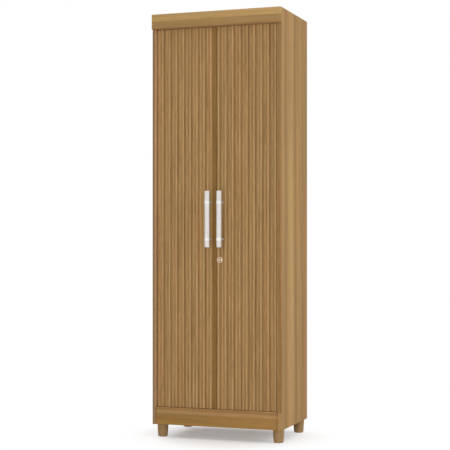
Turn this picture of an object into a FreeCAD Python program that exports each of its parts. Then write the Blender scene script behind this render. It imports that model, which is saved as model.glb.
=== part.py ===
import FreeCAD, Part

import os
import re

import Sketcher

# Utility cabinet: two slatted doors on four hinges each, in a board carcass on four tapered feet.
# The front faces -Y, +X is to the right as one faces it, and the floor is at Z = 0.
# The origin is under the middle of the box that holds the whole cabinet, its handles included.

doc = FreeCAD.newDocument("utility_cabinet")
sheet = doc.addObject("Spreadsheet::Sheet", "Sizes")

# Sizes that a designer sets, in mm
sizes = {
    # the whole cabinet
    "cabinet_width": 600,
    "cabinet_depth": 400,
    "cabinet_height": 1880,
    "board": 15,
    "back_board": 3,
    "back_inset": 1,
    "overrun": 1,
    # feet and the brackets that carry them
    "foot_height": 60,
    "foot_top_radius": 25,
    "foot_bottom_radius": 21.5,
    "foot_edge_round": 3,
    "foot_side_inset": 29,
    "foot_front_inset": 50,
    "foot_rear_inset": 40,
    "stud_radius": 4,
    "stud_in_foot": 22,
    "stud_above_plate": 9,
    "nut_across_flats": 13,
    "nut_thickness": 6.5,
    "bracket_thickness": 2,
    "foot_bracket_reach": 48,
    "foot_bracket_rise": 40,
    "foot_bracket_screw_rise": 25,
    "foot_bracket_screw_spacing": 18,
    "foot_bracket_width": 36,
    # fascia and rails
    "fascia_height": 66,
    "fascia_thickness": 12,
    "rail_height": 77,
    "rail_setback": 4,
    "rail_seam": 0.4,
    "fascia_bracket_leg": 28,
    "fascia_screw_place": 17,
    "fascia_bracket_width": 30,
    "fascia_bracket_spacing": 190,
    # shelves and their pins
    "shelf_setback": 46,
    "shelf_side_gap": 1,
    "shelf_rear_gap": 1,
    "shelf_pin_radius": 2.5,
    "shelf_pin_in_side": 8,
    "shelf_pin_reach": 10,
    "shelf_pin_collar": 4,
    "shelf_pin_collar_thickness": 0.7,
    "pin_hole_play": 0.1,
    "pin_hole_spacing": 32,
    "pin_column_inset": 37,
    # fittings that join the boards
    "dowel_radius": 4,
    "dowel_length": 30,
    "dowel_in_side": 10,
    "cam_radius": 7.5,
    "cam_cover": 0.7,
    "cam_distance": 34,
    "bolt_radius": 3,
    "bolt_in_side": 10,
    "bolt_head_radius": 3.8,
    "bolt_head_length": 3,
    "joint_front_inset": 60,
    "joint_rear_inset": 50,
    "joint_dowel_offset": 32,
    "rail_dowel_inset": 18,
    # nails of the back
    "nail_radius": 0.8,
    "nail_length": 18,
    "nail_head_radius": 2.4,
    "nail_head_height": 0.6,
    "nail_end_inset": 30,
    "seam_nail_offset": 3.75,
    # doors and slats
    "door_setback": 10,
    "door_gap": 1.5,
    "hinge_side_gap": 2.2,
    "meeting_gap": 3,
    "slat_thickness": 6,
    "slat_gap": 5.6,
    "slat_edge_margin": 5.5,
    "slat_edge_round": 1.2,
    "flute_mouth": 6,
    "flute_floor": 2,
    "flute_depth": 2.4,
    "meeting_strip_width": 20.6,
    "meeting_slat_width": 12.5,
    # hinges
    "cup_radius": 17.5,
    "cup_depth": 12,
    "cup_edge_distance": 3,
    "cup_floor": 0.8,
    "cup_cavity_width": 24,
    "cup_cavity_height": 20,
    "cup_flange_thickness": 1,
    "cup_flange_width": 22,
    "cup_flange_height": 62,
    "cup_screw_spacing": 48,
    "hinge_pin_radius": 1.6,
    "hinge_pin_inset": 18,
    "hinge_pin_depth": 7.5,
    "hinge_pin_seat": 2.5,
    "hinge_pin_play": 0.05,
    "knuckle_radius": 3.2,
    "arm_thickness": 2.4,
    "arm_width": 16,
    "arm_crank": 12,
    "arm_behind_door": 18,
    "arm_length": 54,
    "plate_ridge_thickness": 6,
    "plate_ridge_lead": 3,
    "plate_wing_thickness": 2,
    "plate_wing_width": 18,
    "plate_wing_height": 54,
    "plate_screw_spacing": 32,
    "plate_wing_place": 26,
    "arm_screw_place": 42,
    "arm_screw_radius": 2.5,
    "arm_screw_head_radius": 4.5,
    "arm_screw_head_height": 2.2,
    "arm_screw_in_plate": 5,
    # small wood screws and their cross recess
    "screw_radius": 1.75,
    "screw_length": 12,
    "screw_head_radius": 3.5,
    "screw_head_height": 1.6,
    "recess_length": 4,
    "recess_width": 0.9,
    "recess_depth": 1,
    # handles
    "handle_length": 246,
    "handle_width": 23,
    "handle_thickness": 9,
    "handle_edge_round": 3.6,
    "handle_standoff": 47,
    "handle_inset": 26,
    "handle_post_spacing": 160,
    "handle_post_drop": 8,
    "handle_post_radius": 5,
    "handle_above_lock": 178,
    "collar_height": 14,
    "collar_proud": 1,
    "handle_screw_radius": 2,
    "handle_screw_in_post": 12,
    "handle_screw_head_radius": 4,
    "handle_screw_head_height": 2.4,
    # lock
    "lock_below_shelf": 27,
    "lock_inset": 13,
    "rosette_radius": 13,
    "rosette_thickness": 5,
    "rosette_edge_round": 1.4,
    "barrel_radius": 8,
    "barrel_behind_door": 7,
    "plug_radius": 5.5,
    "plug_play": 0.05,
    "plug_proud": 5,
    "plug_tail_width": 7,
    "key_slot_width": 1.6,
    "key_slot_length": 7,
    "key_slot_depth": 12,
    "lock_nut_radius": 11.5,
    "lock_nut_thickness": 5,
    "cam_play": 0.4,
    "cam_plate_thickness": 2,
    "cam_plate_width": 14,
    "cam_plate_reach": 32,
    "cam_plate_round": 5,
    "cam_screw_radius": 2,
    "cam_screw_in_plug": 8,
    "cam_screw_head_radius": 5,
    "cam_screw_head_height": 2,
    "keeper_width": 26,
    "keeper_height": 36,
    "keeper_edge_gap": 3,
    "keeper_ramp": 2.5,
    "keeper_screw_spacing": 24,
    "keeper_pocket_depth": 4,
    # magnetic catches
    "catch_offset": 62,
    "catch_width": 48,
    "catch_height": 14,
    "catch_depth": 28,
    "catch_play": 0.3,
    "catch_plate_thickness": 1,
    "catch_plate_width": 30,
    "catch_plate_height": 36,
    "catch_plate_drop": 2,
    "catch_plate_screw_inset": 8,
    "magnet_width": 24,
    "magnet_height": 8,
    "magnet_depth": 14,
    "magnet_proud": 1.5,
    "catch_wing_thickness": 3,
    "catch_core_width": 28,
    "catch_screw_spacing": 38,
}

# Counts, which aren't lengths
counts = {
    "compartment_count": 5,
    "slat_count": 8,
}

# Places that follow from the sizes
places = {
    "half_width": "cabinet_width / 2",
    "inner_half": "half_width - board",
    "handle_reach": "handle_standoff + handle_thickness / 2 + collar_proud - door_setback",
    "front_y": "(handle_reach - cabinet_depth - nail_head_height) / 2",
    "back_y": "front_y + cabinet_depth",
    "frame_back_y": "back_y - back_board",
    "rail_front_y": "front_y + rail_setback",
    "rail_back_y": "rail_front_y + board",
    "slat_front_y": "front_y + door_setback",
    "door_front_y": "slat_front_y + slat_thickness",
    "door_back_y": "door_front_y + board",
    "floor_top_z": "foot_height + rail_height",
    "floor_under_z": "floor_top_z - board",
    "top_under_z": "cabinet_height - board",
    "fascia_bottom_z": "cabinet_height - fascia_height",
    "door_bottom_z": "floor_top_z + door_gap",
    "door_top_z": "fascia_bottom_z - door_gap",
    "compartment_height": "(top_under_z - floor_top_z + board) / compartment_count - board",
    "shelf_step": "compartment_height + board",
    "fixed_shelf_z": "floor_top_z + 2 * shelf_step - board",
    "shelf_front_y": "front_y + shelf_setback",
    "cam_depth": "board / 2 + bolt_head_radius + cam_cover",
    "front_column_y": "shelf_front_y + pin_column_inset",
    "rear_column_y": "frame_back_y - pin_column_inset",
    "door_outer": "inner_half - hinge_side_gap",
    "door_inner": "meeting_gap / 2",
    "door_width": "door_outer - door_inner",
    "slats_span": "door_width - slat_edge_margin - meeting_strip_width",
    "slat_width": "(slats_span + slat_gap) / slat_count - slat_gap",
    "slat_pitch": "slat_width + slat_gap",
    "left_slats_x": "slat_edge_margin - door_outer",
    "right_slats_x": "door_inner + meeting_slat_width + slat_gap",
    "cup_x": "cup_edge_distance + cup_radius - door_outer",
    "pin_x": "hinge_pin_inset - door_outer",
    "pin_y": "door_back_y - hinge_pin_depth",
    "cup_floor_y": "door_back_y - cup_depth",
    "crank_y": "door_back_y + arm_behind_door",
    "plate_face_x": "plate_ridge_thickness - inner_half",
    "plate_front_y": "crank_y + arm_thickness / 2 + plate_ridge_lead",
    "arm_back_y": "crank_y + arm_length",
    "handle_x": "door_inner + handle_inset",
    "handle_y": "slat_front_y - handle_standoff",
    "lock_x": "door_inner + lock_inset",
    "lock_z": "fixed_shelf_z - lock_below_shelf",
    "handle_z": "lock_z + handle_above_lock",
    "rosette_front_y": "slat_front_y - rosette_thickness",
    "barrel_back_y": "door_back_y + barrel_behind_door",
    "cam_plate_y": "barrel_back_y + cam_play",
    "keeper_x": "-door_inner - keeper_edge_gap",
    "magnet_front_y": "door_back_y + catch_plate_thickness + catch_play",
    "catch_front_y": "magnet_front_y + magnet_proud",
}

row = 0
for alias, value in list(sizes.items()) + list(counts.items()):
    row += 1
    sheet.set(f"A{row}", alias)
    sheet.set(f"B{row}", str(value))
    sheet.setAlias(f"B{row}", alias)
for alias, formula in places.items():
    row += 1
    sheet.set(f"A{row}", alias)
    sheet.set(f"B{row}", "=" + formula)
    sheet.setAlias(f"B{row}", alias)
doc.recompute()

sheet_names = set(sizes) | set(counts) | set(places)

# Where a piece's own +Z points once it is turned
ACROSS = FreeCAD.Vector(1, 0, 0)
INWARD = FreeCAD.Vector(0, 1, 0)
UPWARD = FreeCAD.Vector(0, 0, 1)
facings = {
    "+x": FreeCAD.Rotation(INWARD, 90),
    "-x": FreeCAD.Rotation(INWARD, -90),
    "+y": FreeCAD.Rotation(ACROSS, -90),
    "-y": FreeCAD.Rotation(ACROSS, 90),
    "+z": FreeCAD.Rotation(),
    "-z": FreeCAD.Rotation(ACROSS, 180),
}

nearly_nothing = 1e-4
node_objects = []


def in_sheet(expression):
    """An expression with each of the sheet's names spelled out in full."""
    def spell(found):
        word = found.group(0)
        return "Sizes." + word if word in sheet_names else word
    return re.sub(r"[a-z_]+", spell, expression)


def bind(piece, quantity, expression):
    piece.setExpression(quantity, in_sheet(expression))


def put(piece, x, y, z, facing="+z"):
    """Turn a piece so that its own +Z faces one way, and bind its place."""
    piece.Placement = FreeCAD.Placement(FreeCAD.Vector(), facings[facing])
    for axis, expression in zip("xyz", (x, y, z)):
        bind(piece, "Placement.Base." + axis, expression)
    return piece


def node(piece):
    """Count a finished piece as one of the cabinet's own sub-parts."""
    node_objects.append(piece)
    return piece


def block(label, x_span, y_span, z_span):
    """A straight block between a low and a high place on each axis."""
    piece = doc.addObject("Part::Box", label)
    for side, (low, high) in zip(("Length", "Width", "Height"), (x_span, y_span, z_span)):
        bind(piece, side, f"({high}) - ({low})")
    return put(piece, x_span[0], y_span[0], z_span[0])


def rod(label, radius, length, x, y, z, facing="+z"):
    """A round bar that starts at a place and runs the way it faces."""
    piece = doc.addObject("Part::Cylinder", label)
    bind(piece, "Radius", radius)
    bind(piece, "Height", length)
    return put(piece, x, y, z, facing)


def group(label, pieces):
    """Several separate solids under one name."""
    piece = doc.addObject("Part::Compound", label)
    piece.Links = pieces
    return piece


def joined(label, pieces):
    """Pieces that are one solid."""
    piece = doc.addObject("Part::MultiFuse", label)
    piece.Shapes = pieces
    return piece


def let_in(label, board, fittings):
    """A piece with the seats of its fittings cut in it."""
    piece = doc.addObject("Part::Cut", label)
    piece.Base = board
    piece.Tool = group(label + "_seats", fittings)
    return piece


def copy_at(source, label, x, y, z, facing="+z"):
    """One more of a piece that was drawn about the origin."""
    piece = doc.addObject("App::Link", label)
    piece.LinkedObject = source
    piece.LinkTransform = True
    return put(piece, x, y, z, facing)


def mirrored(label, source):
    """The same piece on the other side of the cabinet."""
    piece = doc.addObject("Part::Mirroring", label)
    piece.Source = source
    piece.Normal = ACROSS
    return piece


def plane_of(body, role):
    return [feature for feature in body.Origin.OriginFeatures if feature.Role == role][0]


def outline(body, label, role, points):
    """A closed sketch of straight lines whose every corner is bound to the sheet."""
    sketch = body.newObject("Sketcher::SketchObject", label)
    sketch.AttachmentSupport = (plane_of(body, role), [""])
    sketch.MapMode = "FlatFace"
    count = len(points)
    starts = [FreeCAD.Vector(index, index * index + 1, 0) for index in range(count)]
    for index in range(count):
        sketch.addGeometry(Part.LineSegment(starts[index], starts[(index + 1) % count]), False)
    for index in range(count):
        sketch.addConstraint(Sketcher.Constraint("Coincident", index, 2, (index + 1) % count, 1))
    for index, point in enumerate(points):
        for kind, expression, start in zip(("DistanceX", "DistanceY"), point, starts[index]):
            pin = sketch.addConstraint(Sketcher.Constraint(kind, -1, 1, index, 1, start))
            sketch.setExpression(f"Constraints[{pin}]", in_sheet(expression))
    return sketch


def feature(body, kind, label, sketch, **bound):
    """A feature made from a sketch, which becomes the tip of its body."""
    made = body.newObject("PartDesign::" + kind, label)
    made.Profile = sketch
    for quantity, expression in bound.items():
        bind(made, quantity, expression)
    body.Tip = made
    return made


def edges_that(shape, test):
    """The names of the edges that pass a test of their own box."""
    return [f"Edge{index + 1}" for index, edge in enumerate(shape.Edges) if test(edge)]


def soften(body, label, source, names, radius):
    """Round some edges of a body's last feature."""
    made = body.newObject("PartDesign::Fillet", label)
    made.Base = (source, names)
    bind(made, "Radius", radius)
    body.Tip = made
    return made


def runs_along(axis):
    """A test for straight edges that run along one axis."""
    def test(edge):
        if edge.Curve.TypeId != "Part::GeomLine":
            return False
        return edge.tangentAt(edge.FirstParameter).cross(axis).Length < nearly_nothing
    return test


def shelf_level(index):
    """The underside of a shelf, counted from 1 at the bottom."""
    return f"floor_top_z + {index} * shelf_step - board"


def compartment_middle(index):
    """Half the height of a compartment, counted from 0 at the bottom."""
    return f"floor_top_z + {index} * shelf_step + compartment_height / 2"


# Small pieces that are used many times, each drawn about its own seat with its head towards +Z

def cross_recess(label, top):
    """The cutter of a cross recess in a screw head."""
    long_span = ("-recess_length / 2", "recess_length / 2")
    short_span = ("-recess_width / 2", "recess_width / 2")
    depth_span = (f"{top} - recess_depth", f"{top} + overrun")
    one = block(label + "_one", long_span, short_span, depth_span)
    two = block(label + "_two", short_span, long_span, depth_span)
    return joined(label, [one, two])


def headed_screw(label, radius, length, head_radius, head_height):
    """A screw with a round head and a cross recess; its shank runs down from the seat."""
    shank = rod(label + "_shank", radius, length, "0", "0", f"-({length})")
    head = rod(label + "_head", head_radius, head_height, "0", "0", "0")
    whole = joined(label + "_blank", [shank, head])
    return let_in(label, whole, [cross_recess(label + "_recess", head_height)])


wood_screw = headed_screw(
    "wood_screw", "screw_radius", "screw_length", "screw_head_radius", "screw_head_height",
)
nail = joined("nail", [
    rod("nail_shank", "nail_radius", "nail_length", "0", "0", "-nail_length"),
    rod("nail_head", "nail_head_radius", "nail_head_height", "0", "0", "0"),
])
dowel = rod("dowel", "dowel_radius", "dowel_length", "0", "0", "-dowel_in_side")
cam_bolt = joined("cam_bolt", [
    rod("cam_bolt_rod", "bolt_radius", "bolt_in_side + cam_distance", "0", "0", "-bolt_in_side"),
    rod("cam_bolt_head", "bolt_head_radius", "bolt_head_length", "0", "0", "cam_distance"),
])
pin_length = "shelf_pin_in_side + shelf_pin_reach"
shelf_pin = joined("shelf_pin", [
    rod("shelf_pin_rod", "shelf_pin_radius", pin_length, "0", "0", "-shelf_pin_in_side"),
    rod("shelf_pin_rim", "shelf_pin_collar", "shelf_pin_collar_thickness", "0", "0", "0"),
])
pin_hole = rod(
    "pin_hole", "shelf_pin_radius + pin_hole_play", "shelf_pin_in_side + 2 * overrun", "0", "0",
    "-shelf_pin_in_side - overrun",
)

sides = (("left", "-", "+x"), ("right", "", "-x"))

# Dowels and cam fittings that join the level boards and the rails to the two sides
level_boards = {
    "floor": "floor_under_z",
    "shelf": "fixed_shelf_z",
    "roof": "top_under_z",
}
dowel_pieces = []
bolt_pieces = []
cam_pieces = []
for side, sign, facing in sides:
    face_x = f"{sign}inner_half"
    cam_x = f"{sign}(inner_half - cam_distance)"
    for board_name, under in level_boards.items():
        middle = f"{under} + board / 2"
        for place, joint_y, inward in (
            ("front", "front_y + joint_front_inset", "+"),
            ("rear", "frame_back_y - joint_rear_inset", "-"),
        ):
            tag = f"{side}_{board_name}_{place}"
            dowel_y = f"{joint_y} {inward} joint_dowel_offset"
            bolt_pieces.append(copy_at(cam_bolt, "bolt_" + tag, face_x, joint_y, middle, facing))
            dowel_pieces.append(copy_at(dowel, "dowel_" + tag, face_x, dowel_y, middle, facing))
            cam_pieces.append(rod("cam_" + tag, "cam_radius", "cam_depth", cam_x, joint_y, under))
    for rail_name, rail_y, low, high in (
        ("front_rail", "rail_front_y + board / 2", "foot_height", "floor_top_z"),
        ("rear_rail", "frame_back_y - board / 2", "foot_height", "floor_under_z"),
    ):
        for place, dowel_z in (("low", f"{low} + rail_dowel_inset"), ("high", f"{high} - rail_dowel_inset")):
            tag = f"{side}_{rail_name}_{place}"
            dowel_pieces.append(copy_at(dowel, "dowel_" + tag, face_x, rail_y, dowel_z, facing))
dowels = node(group("dowels", dowel_pieces))
cam_bolts = node(group("cam_bolts", bolt_pieces))
cam_locks = node(let_in("cam_locks", group("cam_blanks", cam_pieces), bolt_pieces))

# Shelf pins of the three loose shelves, and the rows of holes that they go in
loose_shelves = {"lower_shelf": 1, "upper_shelf": 3, "top_shelf": 4}
holes_each_way = 2
pin_pieces = []
hole_pieces = {"left": [], "right": []}
for side, sign, facing in sides:
    face_x = f"{sign}inner_half"
    for shelf_name, index in loose_shelves.items():
        pin_z = f"{shelf_level(index)} - shelf_pin_radius"
        for column, column_y in (("front", "front_column_y"), ("rear", "rear_column_y")):
            tag = f"{side}_{shelf_name}_{column}"
            pin_pieces.append(copy_at(shelf_pin, "pin_" + tag, face_x, column_y, pin_z, facing))
            for step in range(-holes_each_way, holes_each_way + 1):
                hole_z = f"{pin_z} + {step} * pin_hole_spacing"
                name = f"hole_{tag}_{step + holes_each_way}"
                hole_pieces[side].append(copy_at(pin_hole, name, face_x, column_y, hole_z, facing))
shelf_pins = node(group("shelf_pins", pin_pieces))

# Hinges: a cup let in the door, an arm that turns on the cup's pin, and a plate on the side
hinge_levels = [compartment_middle(index) for index in (0, 1, 3, 4)]
arm_pieces = []
arm_screw_pieces = []
plate_pieces = []
cup_pieces = []
cup_bore_pieces = []
hinge_pin_pieces = []
plate_screw_pieces = []
cup_screw_pieces = []
half_arm = "arm_thickness / 2"
crank_x = "pin_x + arm_crank"
arm_leg_x = f"plate_face_x + {half_arm}"
arm_screw = headed_screw(
    "arm_screw", "arm_screw_radius", "arm_thickness + arm_screw_in_plate", "arm_screw_head_radius",
    "arm_screw_head_height",
)
for index, level in enumerate(hinge_levels):
    tag = f"hinge_{index + 1}"
    # arm: a strip folded in a crank, with a knuckle that is bored for the pin
    arm_body = doc.addObject("PartDesign::Body", f"{tag}_arm_strip")
    strip = outline(arm_body, f"{tag}_arm_outline", "XY_Plane", [
        ("pin_x", f"pin_y - {half_arm}"),
        (f"{crank_x} + {half_arm}", f"pin_y - {half_arm}"),
        (f"{crank_x} + {half_arm}", f"crank_y + {half_arm}"),
        ("plate_face_x + arm_thickness", f"crank_y + {half_arm}"),
        ("plate_face_x + arm_thickness", "arm_back_y"),
        ("plate_face_x", "arm_back_y"),
        ("plate_face_x", f"crank_y - {half_arm}"),
        (f"{crank_x} - {half_arm}", f"crank_y - {half_arm}"),
        (f"{crank_x} - {half_arm}", f"pin_y + {half_arm}"),
        ("pin_x", f"pin_y + {half_arm}"),
    ])
    pad = feature(arm_body, "Pad", f"{tag}_arm_pad", strip, Length="arm_width")
    pad.SideType = "Symmetric"
    put(arm_body, "0", "0", level)
    arm_base_z = f"{level} - arm_width / 2"
    knuckle = rod(f"{tag}_knuckle", "knuckle_radius", "arm_width", "pin_x", "pin_y", arm_base_z)
    bore = rod(
        f"{tag}_bore", "hinge_pin_radius + hinge_pin_play", "arm_width + 2 * overrun", "pin_x", "pin_y",
        f"{arm_base_z} - overrun",
    )
    screw = copy_at(
        arm_screw, f"{tag}_arm_screw", "plate_face_x + arm_thickness", "plate_front_y + arm_screw_place",
        level, "+x",
    )
    arm_screw_pieces.append(screw)
    arm_blank = joined(f"{tag}_arm_blank", [arm_body, knuckle])
    arm_pieces.append(let_in(f"{tag}_arm", arm_blank, [bore, screw]))
    # cup: a round shell with an oblong hollow for the arm, and a flange with two screws
    flange_back_y = "door_back_y + cup_flange_thickness"
    barrel = rod(f"{tag}_cup_round", "cup_radius", "cup_depth", "cup_x", "cup_floor_y", level, "+y")
    cup_bore_pieces.append(barrel)
    flange = block(
        f"{tag}_cup_flange",
        ("cup_x - cup_flange_width / 2", "cup_x + cup_flange_width / 2"),
        ("door_back_y", flange_back_y),
        (f"{level} - cup_flange_height / 2", f"{level} + cup_flange_height / 2"),
    )
    rim = rod(f"{tag}_cup_rim", "cup_radius", "cup_flange_thickness", "cup_x", "door_back_y", level, "+y")
    hollow = block(
        f"{tag}_cup_hollow",
        ("cup_x - cup_cavity_width / 2", "cup_x + cup_cavity_width / 2"),
        ("cup_floor_y + cup_floor", f"{flange_back_y} + overrun"),
        (f"{level} - cup_cavity_height / 2", f"{level} + cup_cavity_height / 2"),
    )
    hinge_pin = rod(
        f"{tag}_pin", "hinge_pin_radius", "cup_cavity_height + 2 * hinge_pin_seat", "pin_x", "pin_y",
        f"{level} - cup_cavity_height / 2 - hinge_pin_seat",
    )
    hinge_pin_pieces.append(hinge_pin)
    cup_screws = [
        copy_at(wood_screw, f"{tag}_cup_screw_{place}", "cup_x", flange_back_y,
                f"{level} {sign} cup_screw_spacing / 2", "+y")
        for place, sign in (("low", "-"), ("high", "+"))
    ]
    cup_screw_pieces += cup_screws
    cup_blank = joined(f"{tag}_cup_blank", [barrel, flange, rim])
    cup_pieces.append(let_in(f"{tag}_cup", cup_blank, [hollow, hinge_pin] + cup_screws))
    # plate: a ridge under the arm with two wings that are screwed to the side
    wing_y = "plate_front_y + plate_wing_place"
    ridge = block(
        f"{tag}_plate_ridge",
        ("-inner_half", "plate_face_x"),
        ("plate_front_y", "arm_back_y"),
        (f"{level} - arm_width / 2", f"{level} + arm_width / 2"),
    )
    wings = block(
        f"{tag}_plate_wings",
        ("-inner_half", "plate_wing_thickness - inner_half"),
        (f"{wing_y} - plate_wing_width / 2", f"{wing_y} + plate_wing_width / 2"),
        (f"{level} - plate_wing_height / 2", f"{level} + plate_wing_height / 2"),
    )
    plate_screws = [
        copy_at(wood_screw, f"{tag}_plate_screw_{place}", "plate_wing_thickness - inner_half", wing_y,
                f"{level} {sign} plate_screw_spacing / 2", "+x")
        for place, sign in (("low", "-"), ("high", "+"))
    ]
    plate_screw_pieces += plate_screws
    plate_blank = joined(f"{tag}_plate_blank", [ridge, wings])
    plate_pieces.append(let_in(f"{tag}_plate", plate_blank, [screw] + plate_screws))

left_hinge_arms = node(group("left_hinge_arms", arm_pieces))
left_hinge_plates = node(group("left_hinge_plates", plate_pieces))
left_hinge_cups = node(group("left_hinge_cups", cup_pieces))
left_hinge_pins = node(group("left_hinge_pins", hinge_pin_pieces))
right_hinge_arms = node(mirrored("right_hinge_arms", left_hinge_arms))
right_hinge_plates = node(mirrored("right_hinge_plates", left_hinge_plates))
right_hinge_cups = node(mirrored("right_hinge_cups", left_hinge_cups))
right_hinge_pins = node(mirrored("right_hinge_pins", left_hinge_pins))
left_arm_screws = group("left_arm_screws", arm_screw_pieces)
right_arm_screws = mirrored("right_arm_screws", left_arm_screws)
node(group("hinge_arm_screws", [left_arm_screws, right_arm_screws]))
left_plate_screws = group("left_plate_screws", plate_screw_pieces)
right_plate_screws = mirrored("right_plate_screws", left_plate_screws)

# Magnetic catches under the fixed shelf, one for each door
catch_pieces = []
magnet_pieces = []
catch_screw_pieces = []
for side, sign, facing in sides:
    catch_x = f"{sign}catch_offset"
    catch_under_z = "fixed_shelf_z - catch_height"
    catch_span = ("catch_front_y", "catch_front_y + catch_depth")
    core = block(
        f"{side}_catch_core",
        (f"{catch_x} - catch_core_width / 2", f"{catch_x} + catch_core_width / 2"),
        catch_span,
        (catch_under_z, "fixed_shelf_z"),
    )
    wing = block(
        f"{side}_catch_wing",
        (f"{catch_x} - catch_width / 2", f"{catch_x} + catch_width / 2"),
        catch_span,
        ("fixed_shelf_z - catch_wing_thickness", "fixed_shelf_z"),
    )
    magnet_z = "fixed_shelf_z - catch_height / 2"
    magnet = block(
        f"{side}_magnet",
        (f"{catch_x} - magnet_width / 2", f"{catch_x} + magnet_width / 2"),
        ("magnet_front_y", "magnet_front_y + magnet_depth"),
        (f"{magnet_z} - magnet_height / 2", f"{magnet_z} + magnet_height / 2"),
    )
    magnet_pieces.append(magnet)
    catch_screw_y = "(shelf_front_y + catch_front_y + catch_depth) / 2"
    catch_screws = [
        copy_at(wood_screw, f"{side}_catch_screw_{place}", f"{catch_x} {offset} catch_screw_spacing / 2",
                catch_screw_y, "fixed_shelf_z - catch_wing_thickness", "-z")
        for place, offset in (("outer", "-"), ("inner", "+"))
    ]
    catch_screw_pieces += catch_screws
    blank = joined(f"{side}_catch_blank", [core, wing])
    catch_pieces.append(let_in(f"{side}_catch", blank, [magnet] + catch_screws))
magnetic_catches = node(group("magnetic_catches", catch_pieces))
catch_magnets = node(group("catch_magnets", magnet_pieces))


def angle_bracket(label, reach, rise, width):
    """A folded steel angle in the corner of two faces at its own origin, as wide as it says."""
    body = doc.addObject("PartDesign::Body", label)
    profile = outline(body, label + "_outline", "XZ_Plane", [
        ("0", "0"),
        (reach, "0"),
        (reach, "bracket_thickness"),
        ("bracket_thickness", "bracket_thickness"),
        ("bracket_thickness", rise),
        ("0", rise),
    ])
    pad = feature(body, "Pad", label + "_pad", profile, Length=width)
    pad.SideType = "Symmetric"
    return body


def is_round_and_lowest(edge):
    """Whether an edge is the round one at the floor."""
    return edge.Curve.TypeId == "Part::GeomCircle" and edge.BoundBox.ZMax < nearly_nothing


# Feet, the angles that hold them to the sides, and their studs and nuts
foot_bracket_pieces = []
foot_bracket_screws = []
stud_pieces = []
nut_pieces = []
foot_corners = {
    "front": "front_y + foot_front_inset",
    "rear": "back_y - foot_rear_inset",
}
plate_top_z = "foot_height + bracket_thickness"
stud_length = "stud_in_foot + bracket_thickness + stud_above_plate"
nut_radius = "nut_across_flats / 2 / cos(30)"
angle_screw_z = "foot_height + foot_bracket_screw_rise"
for side, sign, facing in sides:
    for place, foot_y in foot_corners.items():
        tag = f"{place}_{side}"
        foot_x = f"{sign}(half_width - foot_side_inset)"
        stud = rod(f"{tag}_stud", "stud_radius", stud_length, foot_x, foot_y, "foot_height - stud_in_foot")
        stud_pieces.append(stud)
        nut = doc.addObject("Part::Prism", f"{tag}_nut_blank")
        nut.Polygon = 6
        bind(nut, "Circumradius", nut_radius)
        bind(nut, "Height", "nut_thickness")
        put(nut, foot_x, foot_y, plate_top_z)
        nut_pieces.append(let_in(f"{tag}_nut", nut, [stud]))
        angle = angle_bracket(f"{tag}_angle", "foot_bracket_reach", "foot_bracket_rise", "foot_bracket_width")
        put(angle, "-inner_half", foot_y, "foot_height")
        if side == "right":
            angle = mirrored(f"{tag}_angle_mirrored", angle)
        screws = [
            copy_at(wood_screw, f"{tag}_angle_screw_{way}", f"{sign}(inner_half - bracket_thickness)",
                    f"{foot_y} {offset} foot_bracket_screw_spacing / 2", angle_screw_z, facing)
            for way, offset in (("near", "-"), ("far", "+"))
        ]
        foot_bracket_screws += screws
        foot_bracket_pieces.append(let_in(f"{tag}_foot_bracket", angle, [stud] + screws))
        # the foot: a turned taper with a rounded lower edge
        foot_body = doc.addObject("PartDesign::Body", f"{tag}_foot_turned")
        profile = outline(foot_body, f"{tag}_foot_outline", "XZ_Plane", [
            ("0", "0"),
            ("foot_bottom_radius", "0"),
            ("foot_top_radius", "foot_height"),
            ("0", "foot_height"),
        ])
        turned = foot_body.newObject("PartDesign::Revolution", f"{tag}_foot_turning")
        turned.Profile = profile
        turned.ReferenceAxis = (plane_of(foot_body, "Z_Axis"), [""])
        turned.Angle = 360
        foot_body.Tip = turned
        doc.recompute()
        lower_rim = edges_that(turned.Shape, is_round_and_lowest)
        soften(foot_body, f"{tag}_foot_rounding", turned, lower_rim, "foot_edge_round")
        put(foot_body, foot_x, foot_y, "0")
        node(let_in(f"{tag}_foot", foot_body, [stud]))
foot_studs = node(group("foot_studs", stud_pieces))
foot_nuts = node(group("foot_nuts", nut_pieces))
foot_brackets = node(group("foot_brackets", foot_bracket_pieces))

# Small angles that hold the fascia to the roof
fascia_bracket_pieces = []
fascia_screw_pieces = []
for index, sign in enumerate(("-", "0 *", "")):
    tag = f"fascia_angle_{index + 1}"
    angle_x = f"{sign} fascia_bracket_spacing"
    legs = [
        block(f"{tag}_level_leg",
              (f"{angle_x} - fascia_bracket_width / 2", f"{angle_x} + fascia_bracket_width / 2"),
              ("front_y", "front_y + fascia_bracket_leg"),
              ("top_under_z - bracket_thickness", "top_under_z")),
        block(f"{tag}_upright_leg",
              (f"{angle_x} - fascia_bracket_width / 2", f"{angle_x} + fascia_bracket_width / 2"),
              ("front_y", "front_y + bracket_thickness"),
              ("top_under_z - fascia_bracket_leg", "top_under_z")),
    ]
    screws = [
        copy_at(wood_screw, f"{tag}_up_screw", angle_x, "front_y + fascia_screw_place",
                "top_under_z - bracket_thickness", "-z"),
        copy_at(wood_screw, f"{tag}_front_screw", angle_x, "front_y + bracket_thickness",
                "top_under_z - fascia_screw_place", "+y"),
    ]
    fascia_screw_pieces += screws
    fascia_bracket_pieces.append(let_in(f"{tag}_bored", joined(tag, legs), screws))
node(group("fascia_brackets", fascia_bracket_pieces))
fixing_screws = node(group(
    "fixing_screws",
    [left_plate_screws, right_plate_screws] + catch_screw_pieces + foot_bracket_screws + fascia_screw_pieces,
))

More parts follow.
